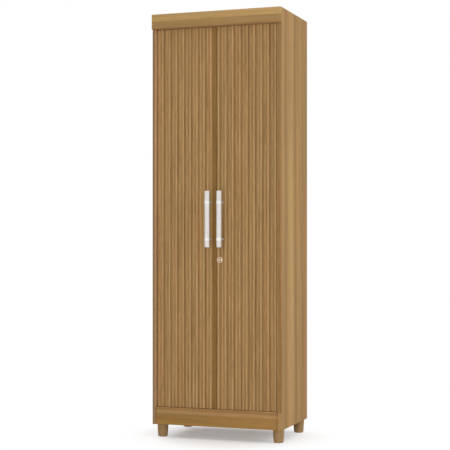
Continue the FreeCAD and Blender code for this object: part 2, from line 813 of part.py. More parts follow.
# Nails round the edges of the two back panels, with their heads at the back
nail_pieces = []
side_nail_x = "half_width - board / 2"
nail_columns = 6
nail_rows = 7
for panel, low, high in (
    ("lower", "foot_height", "fixed_shelf_z + board / 2"),
    ("upper", "fixed_shelf_z + board / 2", "cabinet_height"),
):
    for step in range(nail_rows):
        share = step / (nail_rows - 1)
        nail_z = f"{low} + nail_end_inset + (({high}) - ({low}) - 2 * nail_end_inset) * {share}"
        for side, sign, facing in sides:
            name = f"nail_{panel}_{side}_{step}"
            nail_pieces.append(copy_at(nail, name, f"{sign}({side_nail_x})", "back_y", nail_z, "+y"))
for line, nail_z in (
    ("floor", "floor_under_z + board / 2"),
    ("shelf_low", "fixed_shelf_z + board / 2 - seam_nail_offset"),
    ("shelf_high", "fixed_shelf_z + board / 2 + seam_nail_offset"),
    ("roof", "top_under_z + board / 2"),
):
    for step in range(nail_columns):
        share = (step + 1) / (nail_columns + 1)
        nail_x = f"-inner_half + 2 * inner_half * {share}"
        nail_pieces.append(copy_at(nail, f"nail_{line}_{step}", nail_x, "back_y", nail_z, "+y"))
back_panel_nails = node(group("back_panel_nails", nail_pieces))

# Boards of the carcass
frame_depth = ("front_y", "frame_back_y")
for side, spans in (("left", ("-half_width", "-inner_half")), ("right", ("inner_half", "half_width"))):
    side_board = block(f"{side}_side_board", spans, frame_depth, ("foot_height", "cabinet_height"))
    node(let_in(
        f"{side}_side_panel", side_board,
        [dowels, cam_bolts, fixing_screws, back_panel_nails] + hole_pieces[side],
    ))
between_sides = ("-inner_half", "inner_half")
for name, board_front_y, under in (
    ("bottom_panel", "rail_back_y", "floor_under_z"),
    ("fixed_shelf", "shelf_front_y", "fixed_shelf_z"),
    ("top_panel", "front_y", "top_under_z"),
):
    level_board = block(
        name + "_board", between_sides, (board_front_y, "frame_back_y"), (under, f"{under} + board"),
    )
    node(let_in(name, level_board, [dowels, cam_bolts, cam_locks, fixing_screws, back_panel_nails]))
for name, index in loose_shelves.items():
    node(block(
        name,
        ("shelf_side_gap - inner_half", "inner_half - shelf_side_gap"),
        ("shelf_front_y", "frame_back_y - shelf_rear_gap"),
        (shelf_level(index), f"{shelf_level(index)} + board"),
    ))
rail_span = ("rail_seam - inner_half", "inner_half - rail_seam")
front_rail = block(
    "bottom_rail_board", rail_span, ("rail_front_y", "rail_back_y"), ("foot_height", "floor_top_z"),
)
node(let_in("bottom_rail", front_rail, [dowels]))
rear_rail_board = block(
    "rear_rail_board", rail_span, ("frame_back_y - board", "frame_back_y"),
    ("foot_height", "floor_under_z"),
)
node(let_in("rear_rail", rear_rail_board, [dowels, back_panel_nails]))
fascia_board = block(
    "fascia_board", ("-half_width", "half_width"), ("front_y - fascia_thickness", "front_y"),
    ("fascia_bottom_z", "cabinet_height"),
)
node(let_in("top_fascia", fascia_board, [fixing_screws]))
back_span = ("back_inset - half_width", "half_width - back_inset")
for name, low, high in (
    ("lower_back_panel", "foot_height + back_inset", "fixed_shelf_z + board / 2"),
    ("upper_back_panel", "fixed_shelf_z + board / 2", "cabinet_height - back_inset"),
):
    back_sheet = block(name + "_sheet", back_span, ("frame_back_y", "back_y"), (low, high))
    node(let_in(name, back_sheet, [back_panel_nails]))


# Handles: a rounded bar held in two collared posts, each screwed on from inside the door
bar_body = doc.addObject("PartDesign::Body", "left_handle_bar")
bar_profile = outline(bar_body, "bar_outline", "XY_Plane", [
    ("-handle_width / 2", "-handle_thickness / 2"),
    ("handle_width / 2", "-handle_thickness / 2"),
    ("handle_width / 2", "handle_thickness / 2"),
    ("-handle_width / 2", "handle_thickness / 2"),
])
bar_pad = feature(bar_body, "Pad", "bar_pad", bar_profile, Length="handle_length")
bar_pad.SideType = "Symmetric"
doc.recompute()
soften(bar_body, "bar_rounding", bar_pad, edges_that(bar_pad.Shape, runs_along(UPWARD)), "handle_edge_round")
left_handle_bar = node(put(bar_body, "-handle_x", "handle_y", "handle_z"))

handle_screw = headed_screw(
    "handle_screw", "handle_screw_radius", "board + slat_thickness + handle_screw_in_post",
    "handle_screw_head_radius", "handle_screw_head_height",
)
post_pieces = []
handle_screw_pieces = []
for place, offset in (("lower", "-"), ("upper", "+")):
    post_z = f"handle_z - handle_post_drop {offset} handle_post_spacing / 2"
    collar_body = doc.addObject("PartDesign::Body", f"{place}_collar")
    collar_profile = outline(collar_body, f"{place}_collar_outline", "XY_Plane", [
        ("-handle_width / 2 - collar_proud", "-handle_thickness / 2 - collar_proud"),
        ("handle_width / 2 + collar_proud", "-handle_thickness / 2 - collar_proud"),
        ("handle_width / 2 + collar_proud", "handle_thickness / 2 + collar_proud"),
        ("-handle_width / 2 - collar_proud", "handle_thickness / 2 + collar_proud"),
    ])
    collar_pad = feature(collar_body, "Pad", f"{place}_collar_pad", collar_profile, Length="collar_height")
    collar_pad.SideType = "Symmetric"
    doc.recompute()
    soften(
        collar_body, f"{place}_collar_rounding", collar_pad, edges_that(collar_pad.Shape, runs_along(UPWARD)),
        "handle_edge_round + collar_proud",
    )
    put(collar_body, "-handle_x", "handle_y", post_z)
    stem = rod(
        f"{place}_stem", "handle_post_radius", "handle_standoff", "-handle_x", "handle_y", post_z, "+y",
    )
    screw = copy_at(handle_screw, f"{place}_handle_screw", "-handle_x", "door_back_y", post_z, "+y")
    handle_screw_pieces.append(screw)
    post_blank = joined(f"{place}_post_blank", [collar_body, stem])
    post_pieces.append(let_in(f"{place}_post", post_blank, [left_handle_bar, screw]))
left_handle_posts = node(group("left_handle_posts", post_pieces))
left_handle_screws = node(group("left_handle_screws", handle_screw_pieces))
right_handle_bar = node(mirrored("right_handle_bar", left_handle_bar))
right_handle_posts = node(mirrored("right_handle_posts", left_handle_posts))
right_handle_screws = node(mirrored("right_handle_screws", left_handle_screws))

# Steel plates on the doors that the magnets hold, and the keeper of the lock on the left door
catch_plate_low = "fixed_shelf_z - catch_plate_height"
plate_blank = block(
    "left_catch_plate_blank",
    ("-catch_offset - catch_plate_width / 2", "-catch_offset + catch_plate_width / 2"),
    ("door_back_y", "door_back_y + catch_plate_thickness"),
    (catch_plate_low, "fixed_shelf_z - catch_plate_drop"),
)
catch_plate_screw = copy_at(
    wood_screw, "left_catch_plate_screw", "-catch_offset", "door_back_y + catch_plate_thickness",
    f"{catch_plate_low} + catch_plate_screw_inset", "+y",
)
left_catch_plate = node(let_in("left_catch_plate", plate_blank, [catch_plate_screw]))
right_catch_plate = node(mirrored("right_catch_plate", left_catch_plate))

keeper_body = doc.addObject("PartDesign::Body", "keeper_body")
keeper_profile = outline(keeper_body, "keeper_outline", "YZ_Plane", [
    ("door_back_y", "-keeper_height / 2"),
    ("barrel_back_y - keeper_ramp", "-keeper_height / 2"),
    ("barrel_back_y", "keeper_ramp * 2 - keeper_height / 2"),
    ("barrel_back_y", "keeper_height / 2"),
    ("door_back_y", "keeper_height / 2"),
])
feature(keeper_body, "Pad", "keeper_pad", keeper_profile, Length="keeper_width")
put(keeper_body, "keeper_x - keeper_width", "0", "lock_z")
keeper_seat_y = "barrel_back_y - keeper_pocket_depth"
keeper_middle_x = "keeper_x - keeper_width / 2"
keeper_screws = []
keeper_pockets = []
for place, offset in (("low", "-"), ("high", "+")):
    keeper_screw_z = f"lock_z {offset} keeper_screw_spacing / 2"
    keeper_screws.append(
        copy_at(wood_screw, f"keeper_screw_{place}", keeper_middle_x, keeper_seat_y, keeper_screw_z, "+y"))
    keeper_pockets.append(rod(
        f"keeper_pocket_{place}", "screw_head_radius + pin_hole_play", "keeper_pocket_depth + overrun",
        keeper_middle_x, keeper_seat_y, keeper_screw_z, "+y",
    ))
node(let_in("lock_keeper", keeper_body, keeper_screws + keeper_pockets))
left_hung_screws = group("left_hung_screws", cup_screw_pieces + [catch_plate_screw])
left_door_screws = node(group("left_door_screws", [left_hung_screws] + keeper_screws))
right_door_screws = node(mirrored("right_door_screws", left_hung_screws))

# Lock: a housing with its rosette, its nut, and the plug that turns the cam
housing_body = doc.addObject("PartDesign::Body", "lock_housing")
housing_profile = outline(housing_body, "housing_outline", "XY_Plane", [
    ("plug_radius + plug_play", "rosette_front_y"),
    ("rosette_radius", "rosette_front_y"),
    ("rosette_radius", "slat_front_y"),
    ("barrel_radius", "slat_front_y"),
    ("barrel_radius", "barrel_back_y"),
    ("plug_radius + plug_play", "barrel_back_y"),
])
housing_turning = housing_body.newObject("PartDesign::Revolution", "housing_turning")
housing_turning.Profile = housing_profile
housing_turning.ReferenceAxis = (plane_of(housing_body, "Y_Axis"), [""])
housing_turning.Angle = 360
housing_body.Tip = housing_turning
doc.recompute()


def is_rosette_rim(edge):
    """Whether an edge is the outer rim of the rosette's face."""
    whole = housing_turning.Shape.BoundBox
    box = edge.BoundBox
    at_front = box.YMax < whole.YMin + nearly_nothing
    return at_front and abs(box.XLength - whole.XLength) < nearly_nothing


soften(
    housing_body, "rosette_rounding", housing_turning, edges_that(housing_turning.Shape, is_rosette_rim),
    "rosette_edge_round",
)
lock_housing = node(put(housing_body, "lock_x", "0", "lock_z"))
nut = doc.addObject("Part::Prism", "lock_nut_blank")
nut.Polygon = 6
bind(nut, "Circumradius", "lock_nut_radius")
bind(nut, "Height", "lock_nut_thickness")
put(nut, "lock_x", "door_back_y", "lock_z", "+y")
lock_bore = rod(
    "lock_bore", "barrel_radius", "barrel_back_y - slat_front_y", "lock_x", "slat_front_y", "lock_z", "+y",
)
node(let_in("lock_nut", nut, [lock_bore]))

plug_front_y = "rosette_front_y - plug_proud"
cam_back_y = "cam_plate_y + cam_plate_thickness"
plug_round = rod(
    "plug_round", "plug_radius", f"barrel_back_y - ({plug_front_y})", "lock_x", plug_front_y, "lock_z", "+y",
)
plug_tail = block(
    "plug_tail",
    ("lock_x - plug_tail_width / 2", "lock_x + plug_tail_width / 2"),
    ("barrel_back_y - overrun", cam_back_y),
    ("lock_z - plug_tail_width / 2", "lock_z + plug_tail_width / 2"),
)
key_slot = block(
    "key_slot",
    ("lock_x - key_slot_width / 2", "lock_x + key_slot_width / 2"),
    (f"{plug_front_y} - overrun", f"{plug_front_y} + key_slot_depth"),
    ("lock_z - key_slot_length / 2", "lock_z + key_slot_length / 2"),
)
cam_screw_blank = headed_screw(
    "cam_screw", "cam_screw_radius", "cam_screw_in_plug", "cam_screw_head_radius", "cam_screw_head_height",
)
lock_cam_screw = node(copy_at(cam_screw_blank, "lock_cam_screw", "lock_x", cam_back_y, "lock_z", "+y"))
plug_blank = joined("plug_blank", [plug_round, plug_tail])
lock_plug = node(let_in("lock_plug", plug_blank, [key_slot, lock_cam_screw]))
cam_body = doc.addObject("PartDesign::Body", "cam_body")
cam_profile = outline(cam_body, "cam_outline", "XZ_Plane", [
    ("-cam_plate_width / 2", "-cam_plate_reach"),
    ("cam_plate_width / 2", "-cam_plate_reach"),
    ("cam_plate_width / 2", "cam_plate_width / 2"),
    ("-cam_plate_width / 2", "cam_plate_width / 2"),
])
cam_pad = feature(cam_body, "Pad", "cam_pad", cam_profile, Length="cam_plate_thickness")
cam_pad.SideType = "Symmetric"
doc.recompute()
soften(cam_body, "cam_rounding", cam_pad, edges_that(cam_pad.Shape, runs_along(INWARD)), "cam_plate_round")
put(cam_body, "lock_x", "cam_plate_y + cam_plate_thickness / 2", "lock_z")
node(let_in("lock_cam", cam_body, [plug_tail]))


def slat_outline(body, label, width):
    """The section of one slat: bevelled front corners and a shallow flute along its middle."""
    middle = f"({width}) / 2"
    return outline(body, label, "XY_Plane", [
        ("0", "door_front_y"),
        ("0", "slat_front_y + slat_edge_round"),
        ("slat_edge_round", "slat_front_y"),
        (f"{middle} - flute_mouth / 2", "slat_front_y"),
        (f"{middle} - flute_floor / 2", "slat_front_y + flute_depth"),
        (f"{middle} + flute_floor / 2", "slat_front_y + flute_depth"),
        (f"{middle} + flute_mouth / 2", "slat_front_y"),
        (f"{width} - slat_edge_round", "slat_front_y"),
        (width, "slat_front_y + slat_edge_round"),
        (width, "door_front_y"),
    ])


# Doors: a board with slats on its face
for side, first_slat_x, bores, posts in (
    ("left", "left_slats_x", [], [left_handle_screws]),
    ("right", "right_slats_x", [lock_bore], [right_handle_screws]),
):
    slat_body = doc.addObject("PartDesign::Body", f"{side}_slat_row")
    section = slat_outline(slat_body, f"{side}_slat_outline", "slat_width")
    slat_pad = feature(slat_body, "Pad", f"{side}_slat_pad", section, Length="door_top_z - door_bottom_z")
    row_of_slats = slat_body.newObject("PartDesign::LinearPattern", f"{side}_slat_pattern")
    row_of_slats.Originals = [slat_pad]
    row_of_slats.Direction = (plane_of(slat_body, "X_Axis"), [""])
    bind(row_of_slats, "Length", "slat_pitch * (slat_count - 1)")
    bind(row_of_slats, "Occurrences", "slat_count")
    slat_body.Tip = row_of_slats
    put(slat_body, first_slat_x, "0", "door_bottom_z")
    node(let_in(f"{side}_door_slats", slat_body, bores + posts))

meeting_body = doc.addObject("PartDesign::Body", "meeting_slat_body")
meeting_section = outline(meeting_body, "meeting_slat_outline", "XY_Plane", [
    ("0", "door_front_y"),
    ("0", "slat_front_y + slat_edge_round"),
    ("slat_edge_round", "slat_front_y"),
    ("meeting_slat_width - slat_edge_round", "slat_front_y"),
    ("meeting_slat_width", "slat_front_y + slat_edge_round"),
    ("meeting_slat_width", "door_front_y"),
])
feature(meeting_body, "Pad", "meeting_slat_pad", meeting_section, Length="door_top_z - door_bottom_z")
put(meeting_body, "door_inner", "0", "door_bottom_z")
node(let_in("right_door_meeting_slat", meeting_body, [lock_bore]))

left_cup_bores = group("left_cup_bores", cup_bore_pieces)
door_span = ("door_front_y", "door_back_y")
door_rise = ("door_bottom_z", "door_top_z")
left_door_board = block("left_door_board", ("-door_outer", "-door_inner"), door_span, door_rise)
node(let_in("left_door_panel", left_door_board, [left_cup_bores, left_door_screws, left_handle_screws]))
right_door_board = block("right_door_board", ("door_inner", "door_outer"), door_span, door_rise)
right_cup_bores = mirrored("right_cup_bores", left_cup_bores)
right_seats = [right_cup_bores, right_door_screws, right_handle_screws, lock_bore]
node(let_in("right_door_panel", right_door_board, right_seats))

# Build everything, test it, and write one file for each sub-part
doc.recompute()
failed = [piece.Label for piece in doc.Objects if "Invalid" in piece.State or "Error" in piece.State]
if failed:
    raise RuntimeError("these objects failed: " + ", ".join(failed))
for piece in node_objects:
    if piece.Shape.isNull() or not piece.Shape.isValid():
        raise RuntimeError(piece.Label + " has no valid shape")

os.makedirs("parts", exist_ok=True)
for piece in node_objects:
    piece.Shape.exportStep(os.path.join("parts", piece.Label + ".step"))
print(len(node_objects), "sub-parts written")
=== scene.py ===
import logging
import math
from collections.abc import Sequence
from dataclasses import dataclass
from enum import Enum, IntEnum

import bmesh
import bpy
from mathutils import Matrix, Vector


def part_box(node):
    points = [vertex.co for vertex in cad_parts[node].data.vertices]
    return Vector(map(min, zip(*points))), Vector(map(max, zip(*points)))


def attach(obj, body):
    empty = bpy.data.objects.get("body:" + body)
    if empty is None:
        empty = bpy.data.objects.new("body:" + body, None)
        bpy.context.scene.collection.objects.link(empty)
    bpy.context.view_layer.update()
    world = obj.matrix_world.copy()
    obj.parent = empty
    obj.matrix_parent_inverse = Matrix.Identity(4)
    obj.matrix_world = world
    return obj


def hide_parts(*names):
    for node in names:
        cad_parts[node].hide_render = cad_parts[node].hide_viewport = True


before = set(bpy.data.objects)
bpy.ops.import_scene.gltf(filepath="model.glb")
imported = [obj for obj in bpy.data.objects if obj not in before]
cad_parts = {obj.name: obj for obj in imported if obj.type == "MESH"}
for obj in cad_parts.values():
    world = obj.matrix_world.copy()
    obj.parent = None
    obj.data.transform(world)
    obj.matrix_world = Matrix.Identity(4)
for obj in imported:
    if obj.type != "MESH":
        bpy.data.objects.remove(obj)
logging.basicConfig(level=logging.INFO, format="%(message)s")
log = logging.getLogger("utility_cabinet")

MM = 0.001
SHARP_ANGLE = math.radians(38)
SAME_LEVEL = 1e-6
MERGE_DISTANCE = 1e-4
SAME_PLACE = 1e-3
WALL_SLOPE = 0.5
NOISE_SPAN = (0.3, 0.7)
NO_KNOTS = 0.001
UNSCALED = (1.0, 1.0, 1.0)
WHITE = (1.0, 1.0, 1.0, 1.0)
SIDES = ("left", "right")

Tone = tuple[int, int, int]
Colour = tuple[float, float, float, float]
Place = tuple[float, float, float]
Stops = tuple[tuple[float, Tone], ...]
Outline = list[tuple[float, float]]
Corners = tuple[tuple[float, float], ...]
Socket = bpy.types.NodeSocket


class Grain(Enum):
    """The way that the grain of a board runs, as the scale of its pattern on each axis."""

    UPRIGHT = (1.0, 1.0, 0.035)
    LEVEL = (0.035, 1.0, 1.0)


class Axis(Enum):
    """An axis of the cabinet, by its place in a vector."""

    ACROSS = 0
    DEEP = 1
    UP = 2


class Mixer(Enum):
    """What a Mix node mixes and how, and the places of its two inputs and its result."""

    VALUE = ("FLOAT", "MIX", 2, 3, 0)
    COLOUR = ("RGBA", "MULTIPLY", 6, 7, 2)


class Texture(Enum):
    """How fine a noise is: the number of its finer layers, and how strong they are."""

    SOFT = (2.0, 0.5)
    FLECKED = (2.0, 0.6)
    MARKED = (3.0, 0.5)
    CLOUDED = (3.0, 0.55)
    DUSTY = (3.0, 0.6)
    BRUSHED = (4.0, 0.6)
    FIBROUS = (4.0, 0.62)


class Layer(Enum):
    """The patterns of a foil, each by its own shift, so that no two match."""

    ARCS = 0.6
    PORES = 1.3
    KNOTS = 2.2
    BANDS = 3.1
    HUES = 4.4
    STRIPES = 5.0
    FIBRES = 7.7
    FLECKS = 9.0


class PaintedRibShade(IntEnum):
    """The painted light and shade of a rib's walls: lit and shaded copies of one foil, by their places in the
    list of its finishes.
    """

    LIGHT = 0
    MIDDLE = 1
    DARK = 2
    DEEP = 3


def linear(tone: Tone) -> Colour:
    """Turn a tone as it is seen on a screen into the linear colour that a shader takes.

    Args:
        tone: Red, green and blue, 0 to 255.

    Returns:
        The linear colour, with full alpha.
    """
    parts = []
    for part in tone:
        share = part / 255
        parts.append(share / 12.92 if share <= 0.04045 else ((share + 0.055) / 1.055) ** 2.4)
    return parts[0], parts[1], parts[2], 1.0


def tinted(pull: Place, amount: float) -> Colour:
    """Give white with each of its parts pulled up or down by an amount."""
    return tuple(1.0 + amount * part for part in pull) + (1.0,)


def box_mm(node: str) -> tuple[Vector, Vector]:
    """Give a node's lowest and highest corners in millimetres."""
    low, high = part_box(node)
    return Vector(low) / MM, Vector(high) / MM


class Shader:
    """A material's node tree, with short ways to add and link its nodes."""

    def __init__(self, name: str) -> None:
        """Start a material with one Principled shader.

        Args:
            name: The material's name.
        """
        self.material = bpy.data.materials.new(name)
        self.material.use_nodes = True
        self.tree = self.material.node_tree
        self.surface = self.tree.nodes["Principled BSDF"]

    def add(self, kind: str, **settings: object) -> bpy.types.ShaderNode:
        """Add a node and set its properties, or its inputs by name.

        Args:
            kind: The node's type, without its ShaderNode prefix.
            settings: Properties of the node; a name that isn't one is an input's.

        Returns:
            The new node.
        """
        made = self.tree.nodes.new("ShaderNode" + kind)
        for name, value in settings.items():
            if hasattr(made, name):
                setattr(made, name, value)
            else:
                made.inputs[name.replace("_", " ")].default_value = value
        return made

    def link(self, source: Socket, target: Socket) -> None:
        """Lead one socket into another."""
        self.tree.links.new(source, target)

    def lead(self, source: Socket, name: str) -> None:
        """Lead a socket into one of the surface's own."""
        self.link(source, self.surface.inputs[name])

    def fix(self, name: str, value: float | Colour) -> None:
        """Set one of the surface's own sockets."""
        self.surface.inputs[name].default_value = value

    def place(self, scale: Place, shift: float = 0.0) -> Socket:
        """Give the object's own coordinates, scaled for one pattern.

        Args:
            scale: How many times the pattern repeats in a metre on each axis.
            shift: How far the pattern is moved, so that two patterns don't match.

        Returns:
            The socket that holds the place.
        """
        coordinates = self.add("TexCoord")
        mapping = self.add("Mapping", Scale=scale, Location=(shift, shift, shift))
        self.link(coordinates.outputs["Object"], mapping.inputs["Vector"])
        return mapping.outputs["Vector"]

    def along(self, axis: Axis) -> Socket:
        """Give the object's own coordinate on one axis, in metres."""
        parts = self.add("SeparateXYZ")
        self.link(self.place(UNSCALED), parts.inputs["Vector"])
        return parts.outputs[axis.value]

    def pattern(self, kind: str, result: str, scale: Place, shift: float = 0.0,
                **settings: float | str) -> Socket:
        """Add a pattern on the object's coordinates.

        Args:
            kind: The texture's kind.
            result: The output that is taken.
            scale: Its repeats in a metre on each axis.
            shift: How far it is moved.
            settings: Its own settings.

        Returns:
            The output.
        """
        made = self.add("Tex" + kind, **settings)
        self.link(self.place(scale, shift), made.inputs["Vector"])
        return made.outputs[result]

    def noise(self, texture: Texture, scale: Place, shift: float = 0.0, warp: float = 0.0) -> Socket:
        """Add a noise pattern, scaled, moved and warped."""
        detail, roughness = texture.value
        return self.pattern("Noise", "Fac", scale, shift, Detail=detail, Roughness=roughness, Scale=1.0,
                            Distortion=warp)

    def join(self, mixer: Mixer, one: Socket, two: Socket, share: float) -> Socket:
        """Add a Mix node.

        Args:
            mixer: What it mixes, and how.
            one: The first socket.
            two: The second socket.
            share: How much of the second shows.

        Returns:
            The mixed socket.
        """
        kind, blend, first, second, result = mixer.value
        made = self.add("Mix", data_type=kind, blend_type=blend)
        made.inputs[0].default_value = share
        self.link(one, made.inputs[first])
        self.link(two, made.inputs[second])
        return made.outputs[result]

    def mix(self, one: Socket, two: Socket, share: float) -> Socket:
        """Mix two values, with a share of the second."""
        return self.join(Mixer.VALUE, one, two, share)

    def shade(self, colour: Socket, factor: Socket) -> Socket:
        """Multiply a colour by a factor or by another colour."""
        return self.join(Mixer.COLOUR, colour, factor, 1.0)

    def span(self, value: Socket, old: tuple[float, float], new: tuple[float, float],
             smooth: bool = False) -> Socket:
        """Stretch a value from one span to another.

        Args:
            value: The value.
            old: Where the old span starts and ends.
            new: Where the new span starts and ends.
            smooth: Whether it eases in and out.

        Returns:
            The stretched value.
        """
        made = self.add("MapRange", interpolation_type="SMOOTHSTEP" if smooth else "LINEAR")
        for name, number in zip(("From Min", "From Max", "To Min", "To Max"), old + new):
            made.inputs[name].default_value = number
        self.link(value, made.inputs["Value"])
        return made.outputs["Result"]

    def swing(self, noise: Socket, middle: float, reach: float) -> Socket:
        """Spread a noise's usual values evenly about a middle."""
        return self.span(noise, NOISE_SPAN, (middle - reach, middle + reach))

    def ramp(self, value: Socket, places: Sequence[float], colours: Sequence[Colour]) -> Socket:
        """Lead a value through a row of colours.

        Args:
            value: The value, 0 to 1.
            places: The colours' places, lowest first.
            colours: The colours.

        Returns:
            The colour.
        """
        made = self.add("ValToRGB")
        elements = made.color_ramp.elements
        while len(elements) < len(places):
            elements.new(1.0)
        for element, place, colour in zip(elements, places, colours):
            element.position = place
            element.color = colour
        self.link(value, made.inputs["Fac"])
        return made.outputs["Color"]

    def bump(self, height: Socket, strength: float, distance: float) -> None:
        """Raise the surface by a pattern.

        Args:
            height: The pattern.
            strength: How much of it shows.
            distance: How high it stands, in metres.
        """
        made = self.add("Bump", Strength=strength, Distance=distance)
        self.link(height, made.inputs["Height"])
        self.lead(made.outputs["Normal"], "Normal")

    def blend(self, share: Socket, one: Socket, two: Socket) -> Socket:
        """Blend two surfaces, with a share of the second.

        Args:
            share: The share.
            one: The first surface.
            two: The second surface.

        Returns:
            The blended surface.
        """
        made = self.add("MixShader")
        for source, target in zip((share, one, two), made.inputs):
            self.link(source, target)
        return made.outputs[0]


@dataclass(frozen=True)
class BoardFoil:
    """Wood-grain foil: broad stripes (the sheet's own tones, or painted light and shade), then bands, arcs,
    fibres, pores and a few knots.

    A scale is how often its pattern repeats in a metre across the grain.
    """

    name: str
    tones: Stops
    across: Axis = Axis.DEEP
    grain: Grain = Grain.UPRIGHT
    shift: float = 0.0
    contrast: float = 1.0
    darkest: Place = (0.27, 0.30, 0.37)
    lightest: Place = (0.13, 0.15, 0.18)
    figure_stops: Place = (0.33, 0.5, 0.68)
    stripe_scale: float = 9.0
    stripe_wander: float = 0.012
    band_scale: float = 24.0
    band_warp: float = 0.8
    arc_scale: float = 11.0
    arc_rings: float = 1.6
    arc_warp: float = 5.0
    arc_detail: float = 2.0
    arc_detail_scale: float = 1.4
    arc_share: float = 0.14
    fibre_scale: float = 360.0
    fibre_share: float = 0.4
    pore_scale: float = 1300.0
    pore_span: tuple[float, float] = (0.3, 0.42)
    pore_shade: float = 0.8
    pore_share: float = 0.45
    fleck: float = 0.06
    fleck_scale: float = 150.0
    fleck_least: Place = (8.0, 8.0, 18.0)
    hue_scale: float = 26.0
    hue_swing: float = 0.05
    hue_stops: tuple[float, float] = (0.36, 0.64)
    cool_pull: Place = (-1.0, 0.2, -0.6)
    warm_pull: Place = (1.0, 0.0, -1.6)
    knot_scale: float = 5.5
    knot_stretch: float = 0.45
    knot_size: float = 0.03
    knot_core: float = 0.35
    knot_shade: float = 0.55
    roughness: float = 0.52
    roughness_swing: float = 0.07
    gloss: float = 0.06
    relief: float = 0.4
    relief_height: float = 0.0003

    def drawn(self, scale: float) -> Place:
        """Give a scale on each axis, drawn out along the grain."""
        return tuple(Vector(self.grain.value) * scale)

    def layer(self, shader: Shader, layer: Layer, texture: Texture, scale: float, warp: float = 0.0) -> Socket:
        """Add one of the foil's noise patterns."""
        return shader.noise(texture, self.drawn(scale), self.shift + layer.value, warp)

    def stripes(self, shader: Shader) -> Socket:
        """Lay the broad stripes: the sheet's own tones, or painted light and shade.

        Args:
            shader: The foil's shader.

        Returns:
            The colour of the stripes.
        """
        low, high = self.tones[0][0], self.tones[-1][0]
        wander = self.layer(shader, Layer.STRIPES, Texture.SOFT, self.stripe_scale)
        moved = shader.add("Math", operation="ADD")
        shader.link(shader.along(self.across), moved.inputs[0])
        shader.link(shader.swing(wander, 0.0, self.stripe_wander), moved.inputs[1])
        share = shader.span(moved.outputs[0], (low, high), (0.0, 1.0))
        places, tones = zip(*self.tones)
        return shader.ramp(share, [(place - low) / (high - low) for place in places], [*map(linear, tones)])

    def arcs(self, shader: Shader) -> Socket:
        """Add the wide arcs of a board sawn along the tree.

        Args:
            shader: The foil's shader.

        Returns:
            The pattern's value.
        """
        return shader.pattern("Wave", "Fac", self.drawn(self.arc_scale), self.shift + Layer.ARCS.value,
                              wave_type="RINGS", rings_direction="SPHERICAL", Scale=self.arc_rings,
                              Distortion=self.arc_warp, Detail=self.arc_detail,
                              Detail_Scale=self.arc_detail_scale)

    def flecks(self, shader: Shader) -> Socket:
        """Add the short flecks, which are less drawn out than the rest."""
        scale = tuple(Vector(self.grain.value) * self.fleck_scale + Vector(self.fleck_least))
        return shader.swing(shader.noise(Texture.FLECKED, scale, self.shift + Layer.FLECKS.value), 1.0,
                            self.fleck)

    def hues(self, shader: Shader) -> Socket:
        """Add the slow changes between a cooler and a warmer brown."""
        colours = [tinted(pull, self.hue_swing) for pull in (self.cool_pull, self.warm_pull)]
        return shader.ramp(self.layer(shader, Layer.HUES, Texture.SOFT, self.hue_scale), self.hue_stops,
                           colours)

    def knots(self, shader: Shader) -> Socket:
        """Add a few small dark knots.

        Args:
            shader: The foil's shader.

        Returns:
            The factor of the colour.
        """
        stretches = (1.0 if part == 1.0 else self.knot_stretch for part in self.grain.value)
        scale = tuple(self.knot_scale * stretch for stretch in stretches)
        knots = shader.pattern("Voronoi", "Distance", scale, self.shift + Layer.KNOTS.value, Scale=1.0)
        return shader.span(knots, (self.knot_size * self.knot_core, self.knot_size), (self.knot_shade, 1.0))

    def material(self) -> bpy.types.Material:
        """Build the foil.

        Returns:
            The material.
        """
        shader = Shader(self.name)
        bands = self.layer(shader, Layer.BANDS, Texture.CLOUDED, self.band_scale, self.band_warp)
        fibres = self.layer(shader, Layer.FIBRES, Texture.FIBROUS, self.fibre_scale)
        pores = self.layer(shader, Layer.PORES, Texture.SOFT, self.pore_scale)
        figure = shader.mix(shader.mix(bands, self.arcs(shader), self.arc_share), fibres, self.fibre_share)
        colours = tinted(self.darkest, -self.contrast), WHITE, tinted(self.lightest, self.contrast)
        colour = self.stripes(shader)
        for factor in (shader.ramp(figure, self.figure_stops, colours),
                       shader.span(pores, self.pore_span, (self.pore_shade, 1.0)),
                       self.flecks(shader), self.hues(shader), self.knots(shader)):
            colour = shader.shade(colour, factor)
        shader.lead(colour, "Base Color")
        shader.lead(shader.swing(fibres, self.roughness, self.roughness_swing), "Roughness")
        shader.fix("Specular IOR Level", self.gloss)
        shader.bump(shader.mix(fibres, pores, self.pore_share), self.relief, self.relief_height)
        return shader.material


@dataclass(frozen=True)
class Metal:
    """A plated or satin metal with fine brushing and faint handling marks."""

    name: str
    tone: Tone
    roughness: float
    brush: Place
    metallic: float = 1.0
    dull: float = 0.84
    stops: tuple[float, float] = (0.32, 0.6)
    marks: float = 70.0
    marks_shift: float = 4.0
    marks_share: float = 0.4
    roughness_swing: float = 0.07
    relief: float = 0.12
    relief_height: float = 0.0001

    def material(self) -> bpy.types.Material:
        """Build the metal.

        Returns:
            The material.
        """
        shader = Shader(self.name)
        brushing = shader.noise(Texture.BRUSHED, self.brush)
        marks = shader.noise(Texture.MARKED, (self.marks,) * 3, self.marks_shift)
        worn = shader.mix(brushing, marks, self.marks_share)
        bright = linear(self.tone)
        duller = tuple(part * self.dull for part in bright[:3]) + (1.0,)
        shader.fix("Metallic", self.metallic)
        shader.lead(shader.ramp(worn, self.stops, (duller, bright)), "Base Color")
        shader.lead(shader.swing(worn, self.roughness, self.roughness_swing), "Roughness")
        shader.bump(brushing, self.relief, self.relief_height)
        return shader.material


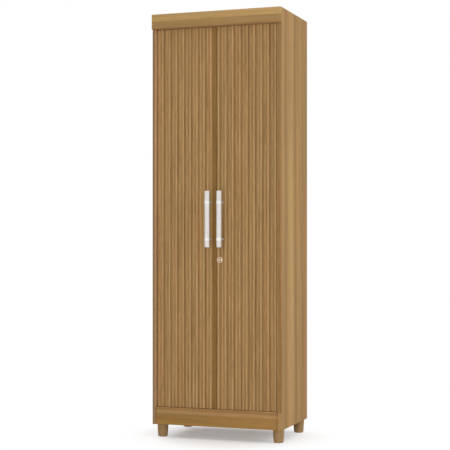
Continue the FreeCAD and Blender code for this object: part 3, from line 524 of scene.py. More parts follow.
@dataclass(frozen=True)
class Moulding:
    """A moulded or pressed material with a fine skin and slow changes of shade."""

    name: str
    dark: Tone
    light: Tone
    roughness: float
    skin: Place = (700.0, 700.0, 700.0)
    skin_shift: float = 2.0
    skin_share: float = 0.45
    clouds: float = 14.0
    stops: tuple[float, float] = (0.36, 0.64)
    roughness_swing: float = 0.07
    gloss: float = 0.3
    relief: float = 0.3
    relief_height: float = 0.00015

    def material(self) -> bpy.types.Material:
        """Build the moulding.

        Returns:
            The material.
        """
        shader = Shader(self.name)
        clouds = shader.noise(Texture.CLOUDED, (self.clouds,) * 3)
        skin = shader.noise(Texture.CLOUDED, self.skin, self.skin_shift)
        shade = shader.mix(clouds, skin, self.skin_share)
        shader.lead(shader.ramp(shade, self.stops, (linear(self.dark), linear(self.light))), "Base Color")
        shader.lead(shader.swing(skin, self.roughness, self.roughness_swing), "Roughness")
        shader.fix("Specular IOR Level", self.gloss)
        shader.bump(skin, self.relief, self.relief_height)
        return shader.material


@dataclass(frozen=True)
class Chipboard:
    """The raw edge of a board: pressed flakes of several browns, with small hollows between them."""

    name: str
    dark: Tone
    light: Tone
    flakes: Place = (168.0, 168.0, 420.0)
    dust: float = 900.0
    dust_shift: float = 1.0
    dust_share: float = 0.35
    stops: tuple[float, float] = (0.2, 0.8)
    roughness: float = 0.85
    gloss: float = 0.1
    relief: float = 0.5
    relief_height: float = 0.0003

    def material(self) -> bpy.types.Material:
        """Build the raw board.

        Returns:
            The material.
        """
        shader = Shader(self.name)
        parts = shader.add("SeparateColor")
        shader.link(shader.pattern("Voronoi", "Color", self.flakes, Scale=1.0), parts.inputs["Color"])
        dust = shader.noise(Texture.DUSTY, (self.dust,) * 3, self.dust_shift)
        shade = shader.mix(parts.outputs["Red"], dust, self.dust_share)
        shader.lead(shader.ramp(shade, self.stops, (linear(self.dark), linear(self.light))), "Base Color")
        shader.fix("Roughness", self.roughness)
        shader.fix("Specular IOR Level", self.gloss)
        shader.bump(shade, self.relief, self.relief_height)
        return shader.material


class Finishes:
    """The finishes of the cabinet, each built once.

    The stripes' places are in metres, and those of a side are counted from its front edge.
    """

    side_stripes: Stops = (
        (0.005, (160, 125, 80)), (0.025, (168, 133, 88)), (0.061, (150, 114, 68)), (0.120, (174, 139, 90)),
        (0.168, (172, 137, 88)), (0.204, (150, 115, 68)), (0.255, (164, 129, 80)), (0.330, (152, 117, 70)),
        (0.400, (156, 121, 76)),
    )
    # Front edge of the left side: the inner strip is lighter, painted light on the shaded corner beside the
    # doors.
    left_edge_painted_light_stripes: Stops = (
        (-0.3000, (142, 112, 84)), (-0.2892, (144, 113, 84)), (-0.2874, (174, 138, 104)),
        (-0.2850, (174, 138, 104)),
    )
    # The same edge beside the rail: its inner strip is darker, painted shade at the rail's left end.
    left_edge_painted_shade_stripes: Stops = (
        (-0.3000, (144, 117, 88)), (-0.2892, (145, 117, 87)), (-0.2874, (138, 108, 75)),
        (-0.2850, (136, 105, 71)),
    )
    # Front edge of the right side: darker above the rail, painted shade of the shadow line beside the doors.
    right_edge_painted_shade_stripes: Stops = (
        (0.060, (178, 143, 97)), (0.132, (174, 139, 93)), (0.142, (150, 115, 72)), (1.814, (150, 115, 72)),
    )
    fascia_stripes: Stops = (
        (1.814, (148, 112, 72)), (1.822, (159, 123, 80)), (1.838, (160, 126, 82)), (1.8455, (162, 128, 83)),
        (1.8495, (184, 151, 101)), (1.860, (180, 146, 97)), (1.870, (180, 146, 98)), (1.880, (186, 152, 104)),
    )
    rail_stripes: Stops = (
        (0.060, (158, 122, 70)), (0.090, (156, 120, 72)), (0.107, (153, 117, 71)), (0.113, (164, 129, 85)),
        (0.121, (165, 130, 87)), (0.126, (154, 119, 77)), (0.133, (152, 117, 75)), (0.137, (164, 130, 88)),
    )
    # Left door board: the outer strip is lighter, painted light in the shaded margin beside the side; the strip
    # where the doors meet is darker.
    left_door_stripes_and_painted_light: Stops = (
        (-0.2828, (184, 148, 104)), (-0.2776, (184, 148, 104)), (-0.2772, (165, 129, 86)),
        (-0.0226, (165, 129, 86)), (-0.0221, (140, 105, 61)), (-0.0015, (140, 105, 61)),
    )
    # Right door board: the outer strip is lighter, painted light in the shaded margin beside the side.
    right_door_painted_light_stripes: Stops = (
        (0.0015, (165, 129, 86)), (0.2746, (165, 129, 86)), (0.2750, (182, 147, 104)),
        (0.2828, (182, 147, 104)),
    )
    # Lit and shaded copies of one rib foil: painted light and shade for the ribs' walls.
    rib_painted_shades: tuple[tuple[str, Tone, float], ...] = (
        ("light", (180, 145, 101), 3.0), ("middle", (167, 132, 89), 5.0), ("dark", (154, 119, 77), 7.0),
        ("deep", (159, 124, 80), 8.0),
    )

    def __init__(self) -> None:
        """Build every finish."""
        self.build_foils()
        self.build_metals()
        self.build_mouldings()

    def build_foils(self) -> None:
        """Build the foils of the boards, the ribs and the feet."""
        edge = box_mm("right_side_panel")[0].y * MM
        side_stripes = tuple((edge + place, tone) for place, tone in self.side_stripes)
        band = dict(stripe_wander=0.0, knot_size=NO_KNOTS)
        self.side = BoardFoil("side_foil", side_stripes, stripe_wander=0.003).material()
        self.left_edge = BoardFoil("left_edge_band", self.left_edge_painted_light_stripes, Axis.ACROSS, **band).material()
        self.left_edge_low = BoardFoil("left_edge_band_low", self.left_edge_painted_shade_stripes, Axis.ACROSS,
                                       **band).material()
        self.right_edge = BoardFoil("right_edge_band", self.right_edge_painted_shade_stripes, Axis.UP, **band).material()
        # A pale foil for the reveal linings and the fascia's lip: painted light in shaded gaps.
        self.reveal = BoardFoil("left_reveal_foil", self.flat((188, 150, 112)), knot_size=NO_KNOTS).material()
        self.fascia = BoardFoil("fascia_foil", self.fascia_stripes, Axis.UP, Grain.LEVEL, 4.5, contrast=0.8,
                                stripe_wander=0.002).material()
        self.rail = BoardFoil("rail_foil", self.rail_stripes, Axis.UP, Grain.LEVEL, 9.0, contrast=0.7,
                              stripe_wander=0.003).material()
        self.shelf = BoardFoil("shelf_foil", self.flat((166, 132, 90)), Axis.DEEP, Grain.LEVEL, 2.0).material()
        self.shelf_edge = BoardFoil("shelf_edge_band", self.flat((154, 120, 80)), Axis.UP, Grain.LEVEL, 6.0,
                                    knot_size=NO_KNOTS).material()
        doors = zip(SIDES, (self.left_door_stripes_and_painted_light, self.right_door_painted_light_stripes), (1.0, 13.0))
        self.left_door, self.right_door = (
            BoardFoil(f"{side}_door_foil", stripes, Axis.ACROSS, shift=shift, stripe_wander=0.0).material()
            for side, stripes, shift in doors)
        self.ribs = [BoardFoil(f"rib_{name}_foil", self.flat(tone), shift=shift, band_scale=70.0, contrast=1.25,
                               fleck=0.1).material() for name, tone, shift in self.rib_painted_shades]
        self.foot = BoardFoil("foot_stain", self.flat((157, 125, 91)), shift=11.0, contrast=0.9,
                              band_scale=60.0, knot_size=NO_KNOTS).material()

    def build_metals(self) -> None:
        """Build the metals of the handles, the lock and the fittings."""
        along_bar = (900.0, 900.0, 30.0)
        round_collar = (200.0, 200.0, 900.0)
        round_face = (500.0, 40.0, 500.0)
        self.handle = Metal("handle_satin", (226, 221, 217), 0.6, along_bar, 0.2).material()
        # A darker copy of the satin metal: painted shade on the flanks of the bars and collars, and on the
        # stems.
        self.handle_painted_shade = Metal("handle_painted_shade", (178, 171, 162), 0.58, along_bar, 0.3).material()
        self.collar = Metal("handle_collar", (240, 236, 233), 0.5, round_collar, 0.3).material()
        self.nickel = Metal("hinge_nickel", (204, 203, 200), 0.34, (40.0, 500.0, 500.0), 0.65).material()
        self.zinc = Metal("bright_zinc", (190, 193, 198), 0.38, (300.0, 300.0, 300.0), 0.7).material()
        self.lock = Metal("lock_face", (232, 203, 175), 0.42, round_face, 0.35).material()
        # A dark copy for the lock's groove and the barrel in the door: painted shade.
        self.lock_painted_shade = Metal("lock_groove_painted_shade", (92, 74, 58), 0.5, round_face).material()

    def build_mouldings(self) -> None:
        """Build the pressed boards, the plastics, the magnets and the dowels."""
        self.hardboard = Moulding("hardboard", (112, 83, 54), (132, 100, 66), 0.62, (520.0, 520.0, 520.0),
                                  clouds=9.0).material()
        self.chipboard = Chipboard("raw_chipboard", (150, 118, 80), (205, 176, 132)).material()
        self.plastic = Moulding("brown_plastic", (104, 76, 48), (126, 95, 62), 0.45).material()
        self.ferrite = Moulding("ferrite", (34, 34, 36), (52, 52, 55), 0.6).material()
        self.glide = Moulding("foot_glide", (48, 42, 38), (66, 58, 52), 0.7).material()
        self.beech = Moulding("beech", (190, 158, 116), (208, 178, 136), 0.6, (400.0, 400.0, 30.0)).material()

    @staticmethod
    def flat(tone: Tone) -> Stops:
        """Give the stops of a sheet without broad stripes."""
        return (0.0, tone), (1.0, tone)


class Shape:
    """A mesh in the making, in millimetres on the cabinet's own axes."""

    def __init__(self) -> None:
        """Start with nothing."""
        self.mesh = bmesh.new()

    def take(self, other: bmesh.types.BMesh, material: int = 0) -> None:
        """Add a closed shape and free its mesh.

        Args:
            other: The shape.
            material: The place of its finish in the piece's list.
        """
        bmesh.ops.recalc_face_normals(other, faces=other.faces)
        for face in other.faces:
            face.material_index = face.material_index or material
        held = bpy.data.meshes.new("held")
        other.to_mesh(held)
        other.free()
        self.mesh.from_mesh(held)
        bpy.data.meshes.remove(held)

    def block(self, low: Place, high: Place, ease: float = 0.0, flats: int = 2) -> None:
        """Add a board or plate with eased edges.

        Args:
            low: Its lowest corner.
            high: Its highest corner.
            ease: How far the edges are eased.
            flats: How many flats ease each edge.
        """
        made = bmesh.new()
        bmesh.ops.create_cube(made, size=1.0)
        bmesh.ops.scale(made, vec=Vector(high) - Vector(low), verts=made.verts)
        bmesh.ops.translate(made, vec=(Vector(high) + Vector(low)) / 2, verts=made.verts)
        if ease:
            bmesh.ops.bevel(made, geom=list(made.edges), offset=ease, offset_type="OFFSET", segments=flats,
                            profile=0.5, affect="EDGES", material=-1)
        self.take(made)

    def prism(self, outline: Outline, low: float, high: float, tones: list[int], ease: float = 0.0,
              flats: int = 4, material: int = 0) -> None:
        """Add an outline drawn upwards, with its ends eased.

        Args:
            outline: Its corners across and deep, in order.
            low: Its lower end.
            high: Its upper end.
            tones: The finish of each wall, in the outline's order.
            ease: How far its two ends are eased.
            flats: How many flats ease each end.
            material: The finish of its ends.
        """
        made = bmesh.new()
        corners = [made.verts.new((across, deep, low)) for across, deep in outline]
        face = made.faces.new(corners)
        drawn = bmesh.ops.extrude_face_region(made, geom=[face])
        top = [item for item in drawn["geom"] if isinstance(item, bmesh.types.BMVert)]
        bmesh.ops.translate(made, vec=(0.0, 0.0, high - low), verts=top)
        made.normal_update()
        for tone, one, two in zip(tones, corners, corners[1:] + corners[:1]):
            for wall in made.edges.get((one, two)).link_faces:
                if abs(wall.normal.z) < WALL_SLOPE:
                    wall.material_index = tone
        if ease:
            rims = [edge for edge in made.edges if abs(edge.verts[0].co.z - edge.verts[1].co.z) < SAME_LEVEL]
            bmesh.ops.bevel(made, geom=rims, offset=ease, offset_type="OFFSET", segments=flats, profile=0.5,
                            affect="EDGES", material=-1, clamp_overlap=True)
        self.take(made, material)

    def turning(self, profile: Outline, centre: Place, axis: Axis, steps: int, material: int = 0,
                tones: list[int] | None = None, forwards: bool = True) -> None:
        """Add a shape turned on a lathe.

        Args:
            profile: Radii and places along the axis, from one end on the axis to the other, or a closed ring.
            centre: Where the axis starts.
            axis: Which way the axis runs: up, or deep into the cabinet.
            steps: How many flats go round.
            material: The place of its finish.
            tones: The finish of each stretch of the profile.
            forwards: Whether places along the axis run to its positive end.
        """
        made = bmesh.new()
        points = [made.verts.new((radius, 0.0, place)) for radius, place in profile]
        edges = [made.edges.new(pair) for pair in zip(points, points[1:])]
        bmesh.ops.spin(made, geom=points + edges, cent=(0, 0, 0), axis=(0, 0, 1), dvec=(0, 0, 0),
                       angle=math.tau, steps=steps, use_merge=True, use_duplicate=False)
        bmesh.ops.remove_doubles(made, verts=made.verts, dist=MERGE_DISTANCE)
        if tones:
            self.tint_rings(made, profile, tones)
        turn = Matrix.Rotation(math.radians(-90), 4, "X") if axis is Axis.DEEP else Matrix.Identity(4)
        if not forwards:
            turn = turn @ Matrix.Rotation(math.pi, 4, "X")
        bmesh.ops.transform(made, matrix=Matrix.Translation(centre) @ turn, verts=made.verts)
        self.take(made, material)

    @staticmethod
    def tint_rings(made: bmesh.types.BMesh, profile: Outline, tones: list[int]) -> None:
        """Give each stretch of a turned profile its finish.

        Args:
            made: The turned mesh, with its axis upwards.
            profile: The profile.
            tones: The finish of each stretch.
        """
        rings = [(min(a[1], b[1]), max(a[1], b[1]), min(a[0], b[0]), max(a[0], b[0]))
                 for a, b in zip(profile, profile[1:])]
        for face in made.faces:
            heights = [vert.co.z for vert in face.verts]
            radii = [math.hypot(vert.co.x, vert.co.y) for vert in face.verts]
            found = min(heights), max(heights), min(radii), max(radii)
            for ring, tone in zip(rings, tones):
                if all(abs(one - two) < SAME_PLACE for one, two in zip(found, ring)):
                    face.material_index = tone

    def tint_below(self, level: float, material: int) -> None:
        """Give the part of the shape under a level another finish.

        Args:
            level: Where the upper finish ends.
            material: The place of the lower finish.
        """
        whole = [*self.mesh.verts, *self.mesh.edges, *self.mesh.faces]
        bmesh.ops.bisect_plane(self.mesh, geom=whole, plane_co=(0.0, 0.0, level), plane_no=(0.0, 0.0, 1.0))
        for face in self.mesh.faces:
            if face.calc_center_median().z < level:
                face.material_index = material

    def finish(self, name: str, body: str, slot: str, finishes: list[bpy.types.Material],
               nodes: tuple[str, ...] = ()) -> None:
        """Make the shape a piece of the model.

        Args:
            name: The piece's name.
            body: The body that it rides on.
            slot: The record's material slot; not used.
            finishes: Its finishes.
            nodes: The nodes that it stands for.
        """
        bmesh.ops.scale(self.mesh, vec=(MM, MM, MM), verts=self.mesh.verts)
        for face in self.mesh.faces:
            face.smooth = True
        for edge in self.mesh.edges:
            edge.smooth = len(edge.link_faces) == 2 and edge.calc_face_angle(0.0) < SHARP_ANGLE
        mesh = bpy.data.meshes.new(name)
        self.mesh.to_mesh(mesh)
        self.mesh.free()
        for finish in finishes:
            mesh.materials.append(finish)
        piece = bpy.data.objects.new(name, mesh)
        bpy.context.scene.collection.objects.link(piece)
        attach(piece, body)
        if nodes:
            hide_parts(*nodes)
        log.info("%s rides on %s, %d faces", name, body, len(mesh.polygons))


def dress(nodes: list[str], finish: bpy.types.Material) -> None:
    """Give carried-over nodes one finish.

    Args:
        nodes: The nodes' names.
        finish: The finish.
    """
    for name in nodes:
        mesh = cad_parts[name].data
        if not mesh.materials:
            mesh.materials.append(finish)
        for index in range(len(mesh.materials)):
            mesh.materials[index] = finish
        log.info("%s has %s", name, finish.name)


def rounded(half_across: float, half_deep: float, radius: float, flats: int = 6) -> Outline:
    """Draw a rectangle with round corners about the middle.

    Args:
        half_across: Half its width.
        half_deep: Half its depth.
        radius: Its corner radius.
        flats: Flats in each corner.

    Returns:
        Its corners, in order.
    """
    points = []
    for turn, (sign_x, sign_y) in enumerate(((1, 1), (-1, 1), (-1, -1), (1, -1))):
        for step in range(flats + 1):
            angle = math.radians(90) * (turn + step / flats)
            points.append((sign_x * (half_across - radius) + radius * math.cos(angle),
                           sign_y * (half_deep - radius) + radius * math.sin(angle)))
    return points


def placed(outline: Outline, middle: Vector) -> Outline:
    """Move an outline so that it stands about a middle."""
    return [(middle.x + across, middle.y + deep) for across, deep in outline]


@dataclass
class Carcass:
    """The boards that don't move: sides, shelves, rails, fascia and backs, with their edge bands.

    A band or lining is sunk a little into its board, and stops a clearance short of the next one.
    """

    finishes: Finishes
    board_flats: int = 3
    fascia_ease: float = 1.4
    rail_ease: float = 0.9
    band: float = 0.4
    band_ease: float = 0.15
    band_inset: float = 0.05
    sunk: float = 0.1
    lining: float = 0.15
    lining_sunk: float = 0.05
    clearance: float = 0.2
    foil: float = 0.3
    lip_depth: float = 26.0
    lip_height: float = 9.0
    lip_rise: float = 0.3
    lip_ease: float = 0.8
    shelves: tuple[str, ...] = ("lower_shelf", "fixed_shelf", "upper_shelf", "top_shelf")

    def build(self) -> None:
        """Dress the boards, and make the fascia, the rail and the edge bands."""
        looks = self.finishes
        dress(["left_side_panel", "right_side_panel"], looks.side)
        dress(["top_panel", "bottom_panel", "rear_rail", *self.shelves], looks.shelf)
        dress(["upper_back_panel", "lower_back_panel"], looks.hardboard)
        self.board("top_fascia", "fascia_board", self.fascia_ease, looks.fascia)
        self.board("bottom_rail", "rail_board", self.rail_ease, looks.rail)
        self.side_bands()
        self.reveal_linings()
        self.raw_edges()
        self.fascia_lip()
        self.shelf_bands()

    def board(self, node: str, name: str, ease: float, finish: bpy.types.Material) -> None:
        """Make a front board with eased edges in place of its node.

        Args:
            node: The node.
            name: The new piece's name.
            ease: How far its edges are eased.
            finish: Its finish.
        """
        low, high = box_mm(node)
        shape = Shape()
        shape.block(low, high, ease, self.board_flats)
        shape.finish(name, "carcass", "front_board", [finish], (node,))

    def side_bands(self) -> None:
        """Put a thin band on the front edge of each side, whose foils hold painted light and shade, the left
        one with its painted-shade foil beside the rail.
        """
        looks = self.finishes
        top = box_mm("top_fascia")[0].z - self.clearance
        for side in SIDES:
            low, high = box_mm(f"{side}_side_panel")
            shape = Shape()
            shape.block((low.x + self.band_inset, low.y - self.band, low.z),
                        (high.x - self.band_inset, low.y + self.sunk, top), self.band_ease)
            finishes = [looks.right_edge]
            if side == "left":
                shape.tint_below(box_mm("bottom_rail")[1].z, 1)
                finishes = [looks.left_edge, looks.left_edge_low]
            shape.finish(f"{side}_side_edge_band", "carcass", "carcass_board", finishes)

    def reveal_linings(self) -> None:
        """Put a thin lining on each side's inner face, in front of the doors, in a pale foil that paints light
        into the shaded reveal.
        """
        door_front = box_mm("left_door_panel")[0].y
        top = box_mm("top_fascia")[0].z - self.clearance
        for side, sign in zip(SIDES, (-1, 1)):
            low, high = box_mm(f"{side}_side_panel")
            inner = high.x if side == "left" else low.x
            near, far = sorted((inner + sign * self.lining_sunk, inner - sign * self.lining))
            shape = Shape()
            shape.block((near, low.y + self.clearance, low.z + self.clearance), (far, door_front, top))
            shape.finish(f"{side}_reveal_lining", "carcass", "carcass_board", [self.finishes.reveal])

    def raw_edges(self) -> None:
        """Show the raw board on the lower edge of each side, between its foils."""
        for side in SIDES:
            low, high = box_mm(f"{side}_side_panel")
            shape = Shape()
            shape.block((low.x + self.foil, low.y + self.foil, low.z - self.lining),
                        (high.x - self.foil, high.y - self.foil, low.z + self.sunk))
            shape.finish(f"{side}_side_raw_edge", "carcass", "carcass_board", [self.finishes.chipboard])

    def fascia_lip(self) -> None:
        """Put a strip behind the fascia's lower edge, which closes the space above the doors, in a pale foil
        that paints light into that shaded gap.
        """
        low, high = box_mm("top_fascia")
        left = box_mm("left_side_panel")[1].x + self.clearance
        right = box_mm("right_side_panel")[0].x - self.clearance
        shape = Shape()
        shape.block((left, high.y - self.lining_sunk, low.z + self.lip_rise),
                    (right, high.y + self.lip_depth, low.z + self.lip_height), self.lip_ease)
        shape.finish("fascia_back_lip", "carcass", "front_board", [self.finishes.reveal])

    def shelf_bands(self) -> None:
        """Put a thin band on the front edge of each shelf."""
        for node in self.shelves:
            low, high = box_mm(node)
            shape = Shape()
            shape.block((low.x, low.y - self.band, low.z + self.band_inset),
                        (high.x, low.y + self.sunk, high.z - self.band_inset), self.band_ease)
            shape.finish(f"{node}_edge_band", "carcass", "shelf_board", [self.finishes.shelf_edge])


@dataclass
class SlattedDoors:
    """The doors' faces: ribs in pairs with a flute between them, and a plain strip where the doors meet."""

    finishes: Finishes
    slat_count: int = 8
    slat_width: float = 27.0
    pitch: float = 32.6
    crown: float = 1.5
    crown_walls: int = 6
    edge_round: float = 3.0
    edge_share: float = 0.3
    flute_half: float = 3.0
    flute_floor_half: float = 1.0
    flute_depth: float = 2.4

    def build(self) -> None:
        """Dress the doors' boards and lay the ribs on them."""
        dress(["left_door_panel"], self.finishes.left_door)
        dress(["right_door_panel"], self.finishes.right_door)
        for side in SIDES:
            self.ribs(side)
        self.meeting_slat()

    def rib(self, left: float, right: float, front: float) -> Outline:
        """Draw the crown of one rib from its left to its right.

        Args:
            left: Where it starts.
            right: Where it ends.
            front: The crown's highest place.

        Returns:
            The corners of its walls, one more than it has walls.
        """
        middle = (left + right) / 2
        half = (right - left) / 2
        points = []
        for step in range(self.crown_walls + 1):
            across = left + (right - left) * step / self.crown_walls
            share = (across - middle) / half
            points.append((across, front + self.crown * share ** 2))
        return points

    def slat_outline(self, left: float, low: Vector, high: Vector) -> tuple[Outline, list[PaintedRibShade]]:
        """Draw one slat: two crowned ribs with a flute between them.

        Args:
            left: The slat's left edge.
            low: The lowest corner of all the slats.
            high: The highest corner of all the slats.

        Returns:
            The outline and the finish of each wall.
        """
        right = left + self.slat_width
        middle, inset = (left + right) / 2, self.edge_round * self.edge_share
        edge, floor = low.y + self.edge_round, low.y + self.flute_depth
        outline = [(left, high.y), (left, edge)] + self.rib(left + inset, middle - self.flute_half, low.y)
        outline += [(middle - self.flute_floor_half, floor), (middle + self.flute_floor_half, floor)]
        outline += self.rib(middle + self.flute_half, right - inset, low.y) + [(right, edge), (right, high.y)]
        # Each wall takes a lit or shaded copy of the foil, as painted light and shade across the slat.
        tones = [PaintedRibShade.DARK, PaintedRibShade.MIDDLE] + [PaintedRibShade.MIDDLE] * 5 + [PaintedRibShade.DARK]
        tones += [PaintedRibShade.DARK, PaintedRibShade.DARK, PaintedRibShade.MIDDLE]
        tones += [PaintedRibShade.MIDDLE, PaintedRibShade.LIGHT, PaintedRibShade.LIGHT, PaintedRibShade.LIGHT, PaintedRibShade.MIDDLE, PaintedRibShade.DARK] + [PaintedRibShade.DEEP] * 3
        return outline, tones

    def ribs(self, side: str) -> None:
        """Lay one door's slats.

        Args:
            side: Which door.
        """
        low, high = box_mm(f"{side}_door_slats")
        shape = Shape()
        for index in range(self.slat_count):
            outline, tones = self.slat_outline(low.x + index * self.pitch, low, high)
            shape.prism(outline, low.z, high.z, tones)
        shape.finish(f"{side}_door_ribs", f"{side}_door", "slat_board",
                     self.finishes.ribs, (f"{side}_door_slats",))

    def meeting_slat(self) -> None:
        """Lay the narrow slat at the right door's meeting edge."""
        low, high = box_mm("right_door_meeting_slat")
        edge, inset = low.y + self.edge_round, self.edge_round * self.edge_share
        crown = self.rib(low.x + inset, high.x - inset, low.y)
        outline = [(low.x, high.y), (low.x, edge)] + crown + [(high.x, edge), (high.x, high.y)]
        # Painted light and shade across the narrow slat, as on the others.
        tones = [PaintedRibShade.DARK, PaintedRibShade.MIDDLE] + [PaintedRibShade.LIGHT] * 4 + [PaintedRibShade.MIDDLE, PaintedRibShade.DARK] + [PaintedRibShade.DEEP] * 3
        shape = Shape()
        shape.prism(outline, low.z, high.z, tones)
        shape.finish("right_door_meeting_rib", "right_door", "slat_board",
                     self.finishes.ribs, ("right_door_meeting_slat",))


@dataclass
class BarHandles:
    """The two long bar handles: a satin bar in two bright collars on two turned posts.

    A post's foot is given by how far it stands out from the stem and how far along it is, and its neck by the
    same, counted back from the stem's end.
    """

    finishes: Finishes
    bar_round: float = 3.6
    end_ease: float = 1.6
    collar_round: float = 4.2
    collar_height: float = 14.0
    collar_proud: float = 1.0
    post_spacing: float = 160.0
    stem_radius: float = 5.0
    stem_steps: int = 32
    stem_sunk: float = 1.0
    foot: Corners = ((0.3, 0.0), (0.6, 0.3), (0.6, 1.6), (0.0, 2.4))
    neck: Corners = ((0.0, 7.0), (-0.8, 6.0), (-0.8, 5.0), (0.0, 4.0), (0.0, 0.0))
    flank_start: float = 0.35

    def build(self) -> None:
        """Make both handles."""
        for side in SIDES:
            self.bar(side)
            self.posts(side)

    def bar(self, side: str) -> None:
        """Make one bar with eased ends.

        Args:
            side: Which door it is on.
        """
        looks = self.finishes
        low, high = box_mm(f"{side}_handle_bar")
        middle = (low + high) / 2
        outline = rounded((high.x - low.x) / 2, (high.y - low.y) / 2, self.bar_round)
        tones = self.flanks(outline, self.bar_round, 0, 1)
        shape = Shape()
        shape.prism(placed(outline, middle), low.z, high.z, tones, self.end_ease)
        shape.finish(f"{side}_bar", f"{side}_door", "handle_metal", [looks.handle, looks.handle_painted_shade],
                     (f"{side}_handle_bar",))

    def flanks(self, outline: Outline, corner: float, face: int, flank: int) -> list[int]:
        """Choose the finish of each wall of a bar or collar, whose two flanks take a darker copy of the metal
        as painted shade.

        Args:
            outline: Its corners about its middle, in order.
            corner: Its corner radius.
            face: The place of the faces' finish.
            flank: The place of the flanks' finish.

        Returns:
            The place of each wall's finish.
        """
        half = max(across for across, _ in outline)
        start = half - corner * (1.0 - self.flank_start)
        return [flank if abs(one[0] + two[0]) / 2 > start else face
                for one, two in zip(outline, outline[1:] + outline[:1])]

    def posts(self, side: str) -> None:
        """Make one handle's posts, each with its collar and its foot.

        Args:
            side: Which door they are on.
        """
        looks = self.finishes
        bar_low, bar_high = box_mm(f"{side}_handle_bar")
        low, high = box_mm(f"{side}_handle_posts")
        middle = (bar_low + bar_high) / 2
        half_across = (bar_high.x - bar_low.x) / 2 + self.collar_proud
        half_deep = (bar_high.y - bar_low.y) / 2 + self.collar_proud
        outline = rounded(half_across, half_deep, self.collar_round)
        tones = self.flanks(outline, self.collar_round, 1, 2)
        stem, length = self.stem_radius, high.y - bar_high.y + self.stem_sunk
        profile = [(0.0, 0.0)] + [(stem + out, place) for out, place in self.foot]
        profile += [(stem + out, length - back) for out, back in self.neck] + [(0.0, length)]
        shape = Shape()
        for offset in (-self.post_spacing / 2, self.post_spacing / 2):
            level = (low.z + high.z) / 2 + offset
            shape.prism(placed(outline, middle), level - self.collar_height / 2, level + self.collar_height / 2,
                        tones, self.end_ease, material=1)
            shape.turning(profile, (middle.x, high.y, level), Axis.DEEP, self.stem_steps, forwards=False)
        # The stems and the collars' flanks take the darker copy: painted shade.
        shape.finish(f"{side}_posts", f"{side}_door", "handle_metal",
                     [looks.handle_painted_shade, looks.collar, looks.handle_painted_shade], (f"{side}_handle_posts",))


@dataclass
class CylinderLock:
    """The lock in the right door: a stepped face ring, its barrel, and the plug with its key slot.

    The ring's inner step is given by how far it stands out from the bore and how deep it is, and its rim by how
    far it stands in from the edge and how deep it is.
    """

    finishes: Finishes
    plug_radius: float = 5.5
    plug_slack: float = 0.2
    step: Corners = ((0.0, 2.2), (2.6, 2.2), (2.8, 0.6), (3.4, 0.1))
    rim: Corners = ((2.0, 0.1), (0.7, 0.7), (0.0, 1.9), (0.0, 5.0))
    barrel_radius: float = 8.0
    thread_pitch: float = 1.5
    thread_depth: float = 0.5
    thread_runout: float = 0.5
    end_ease: float = 0.6
    # The groove's floor and wall and the barrel in the door take the dark copy: painted shade.
    painted_shade_stretches: tuple[int, ...] = (0, 1, 8)
    steps: int = 48

    def build(self) -> None:
        """Make the face and the barrel, and dress the rest."""
        looks = self.finishes
        dress(["lock_plug"], looks.lock)
        dress(["lock_cam", "lock_cam_screw", "lock_nut"], looks.zinc)
        dress(["lock_keeper"], looks.plastic)
        low, high = box_mm("lock_housing")
        centre = ((low.x + high.x) / 2, low.y, (low.z + high.z) / 2)
        profile = self.profile((high.x - low.x) / 2, box_mm("right_door_panel")[1].y - low.y, high.y - low.y)
        tones = [int(index in self.painted_shade_stretches) for index in range(len(profile) - 1)]
        shape = Shape()
        shape.turning(profile, centre, Axis.DEEP, self.steps, tones=tones)
        shape.finish("lock_face_and_barrel", "right_door", "lock_metal", [looks.lock, looks.lock_painted_shade],
                     ("lock_housing",))

    def profile(self, edge: float, thread: float, length: float) -> Outline:
        """Draw the closed ring that is turned into the face and the barrel.

        Args:
            edge: The face's outer radius.
            thread: How deep the thread starts.
            length: How deep the barrel ends.

        Returns:
            Its radii and depths.
        """
        bore, body, pitch = self.plug_radius + self.plug_slack, self.barrel_radius, self.thread_pitch
        profile = [(bore + out, deep) for out, deep in self.step]
        profile += [(edge - back, deep) for back, deep in self.rim] + [(body, self.rim[-1][1]), (body, thread)]
        place = thread
        while place + pitch < length - self.thread_runout:
            profile += [(body - self.thread_depth, place + pitch / 2), (body, place + pitch)]
            place += pitch
        return profile + [(body - self.end_ease, length), (bore, length), profile[0]]


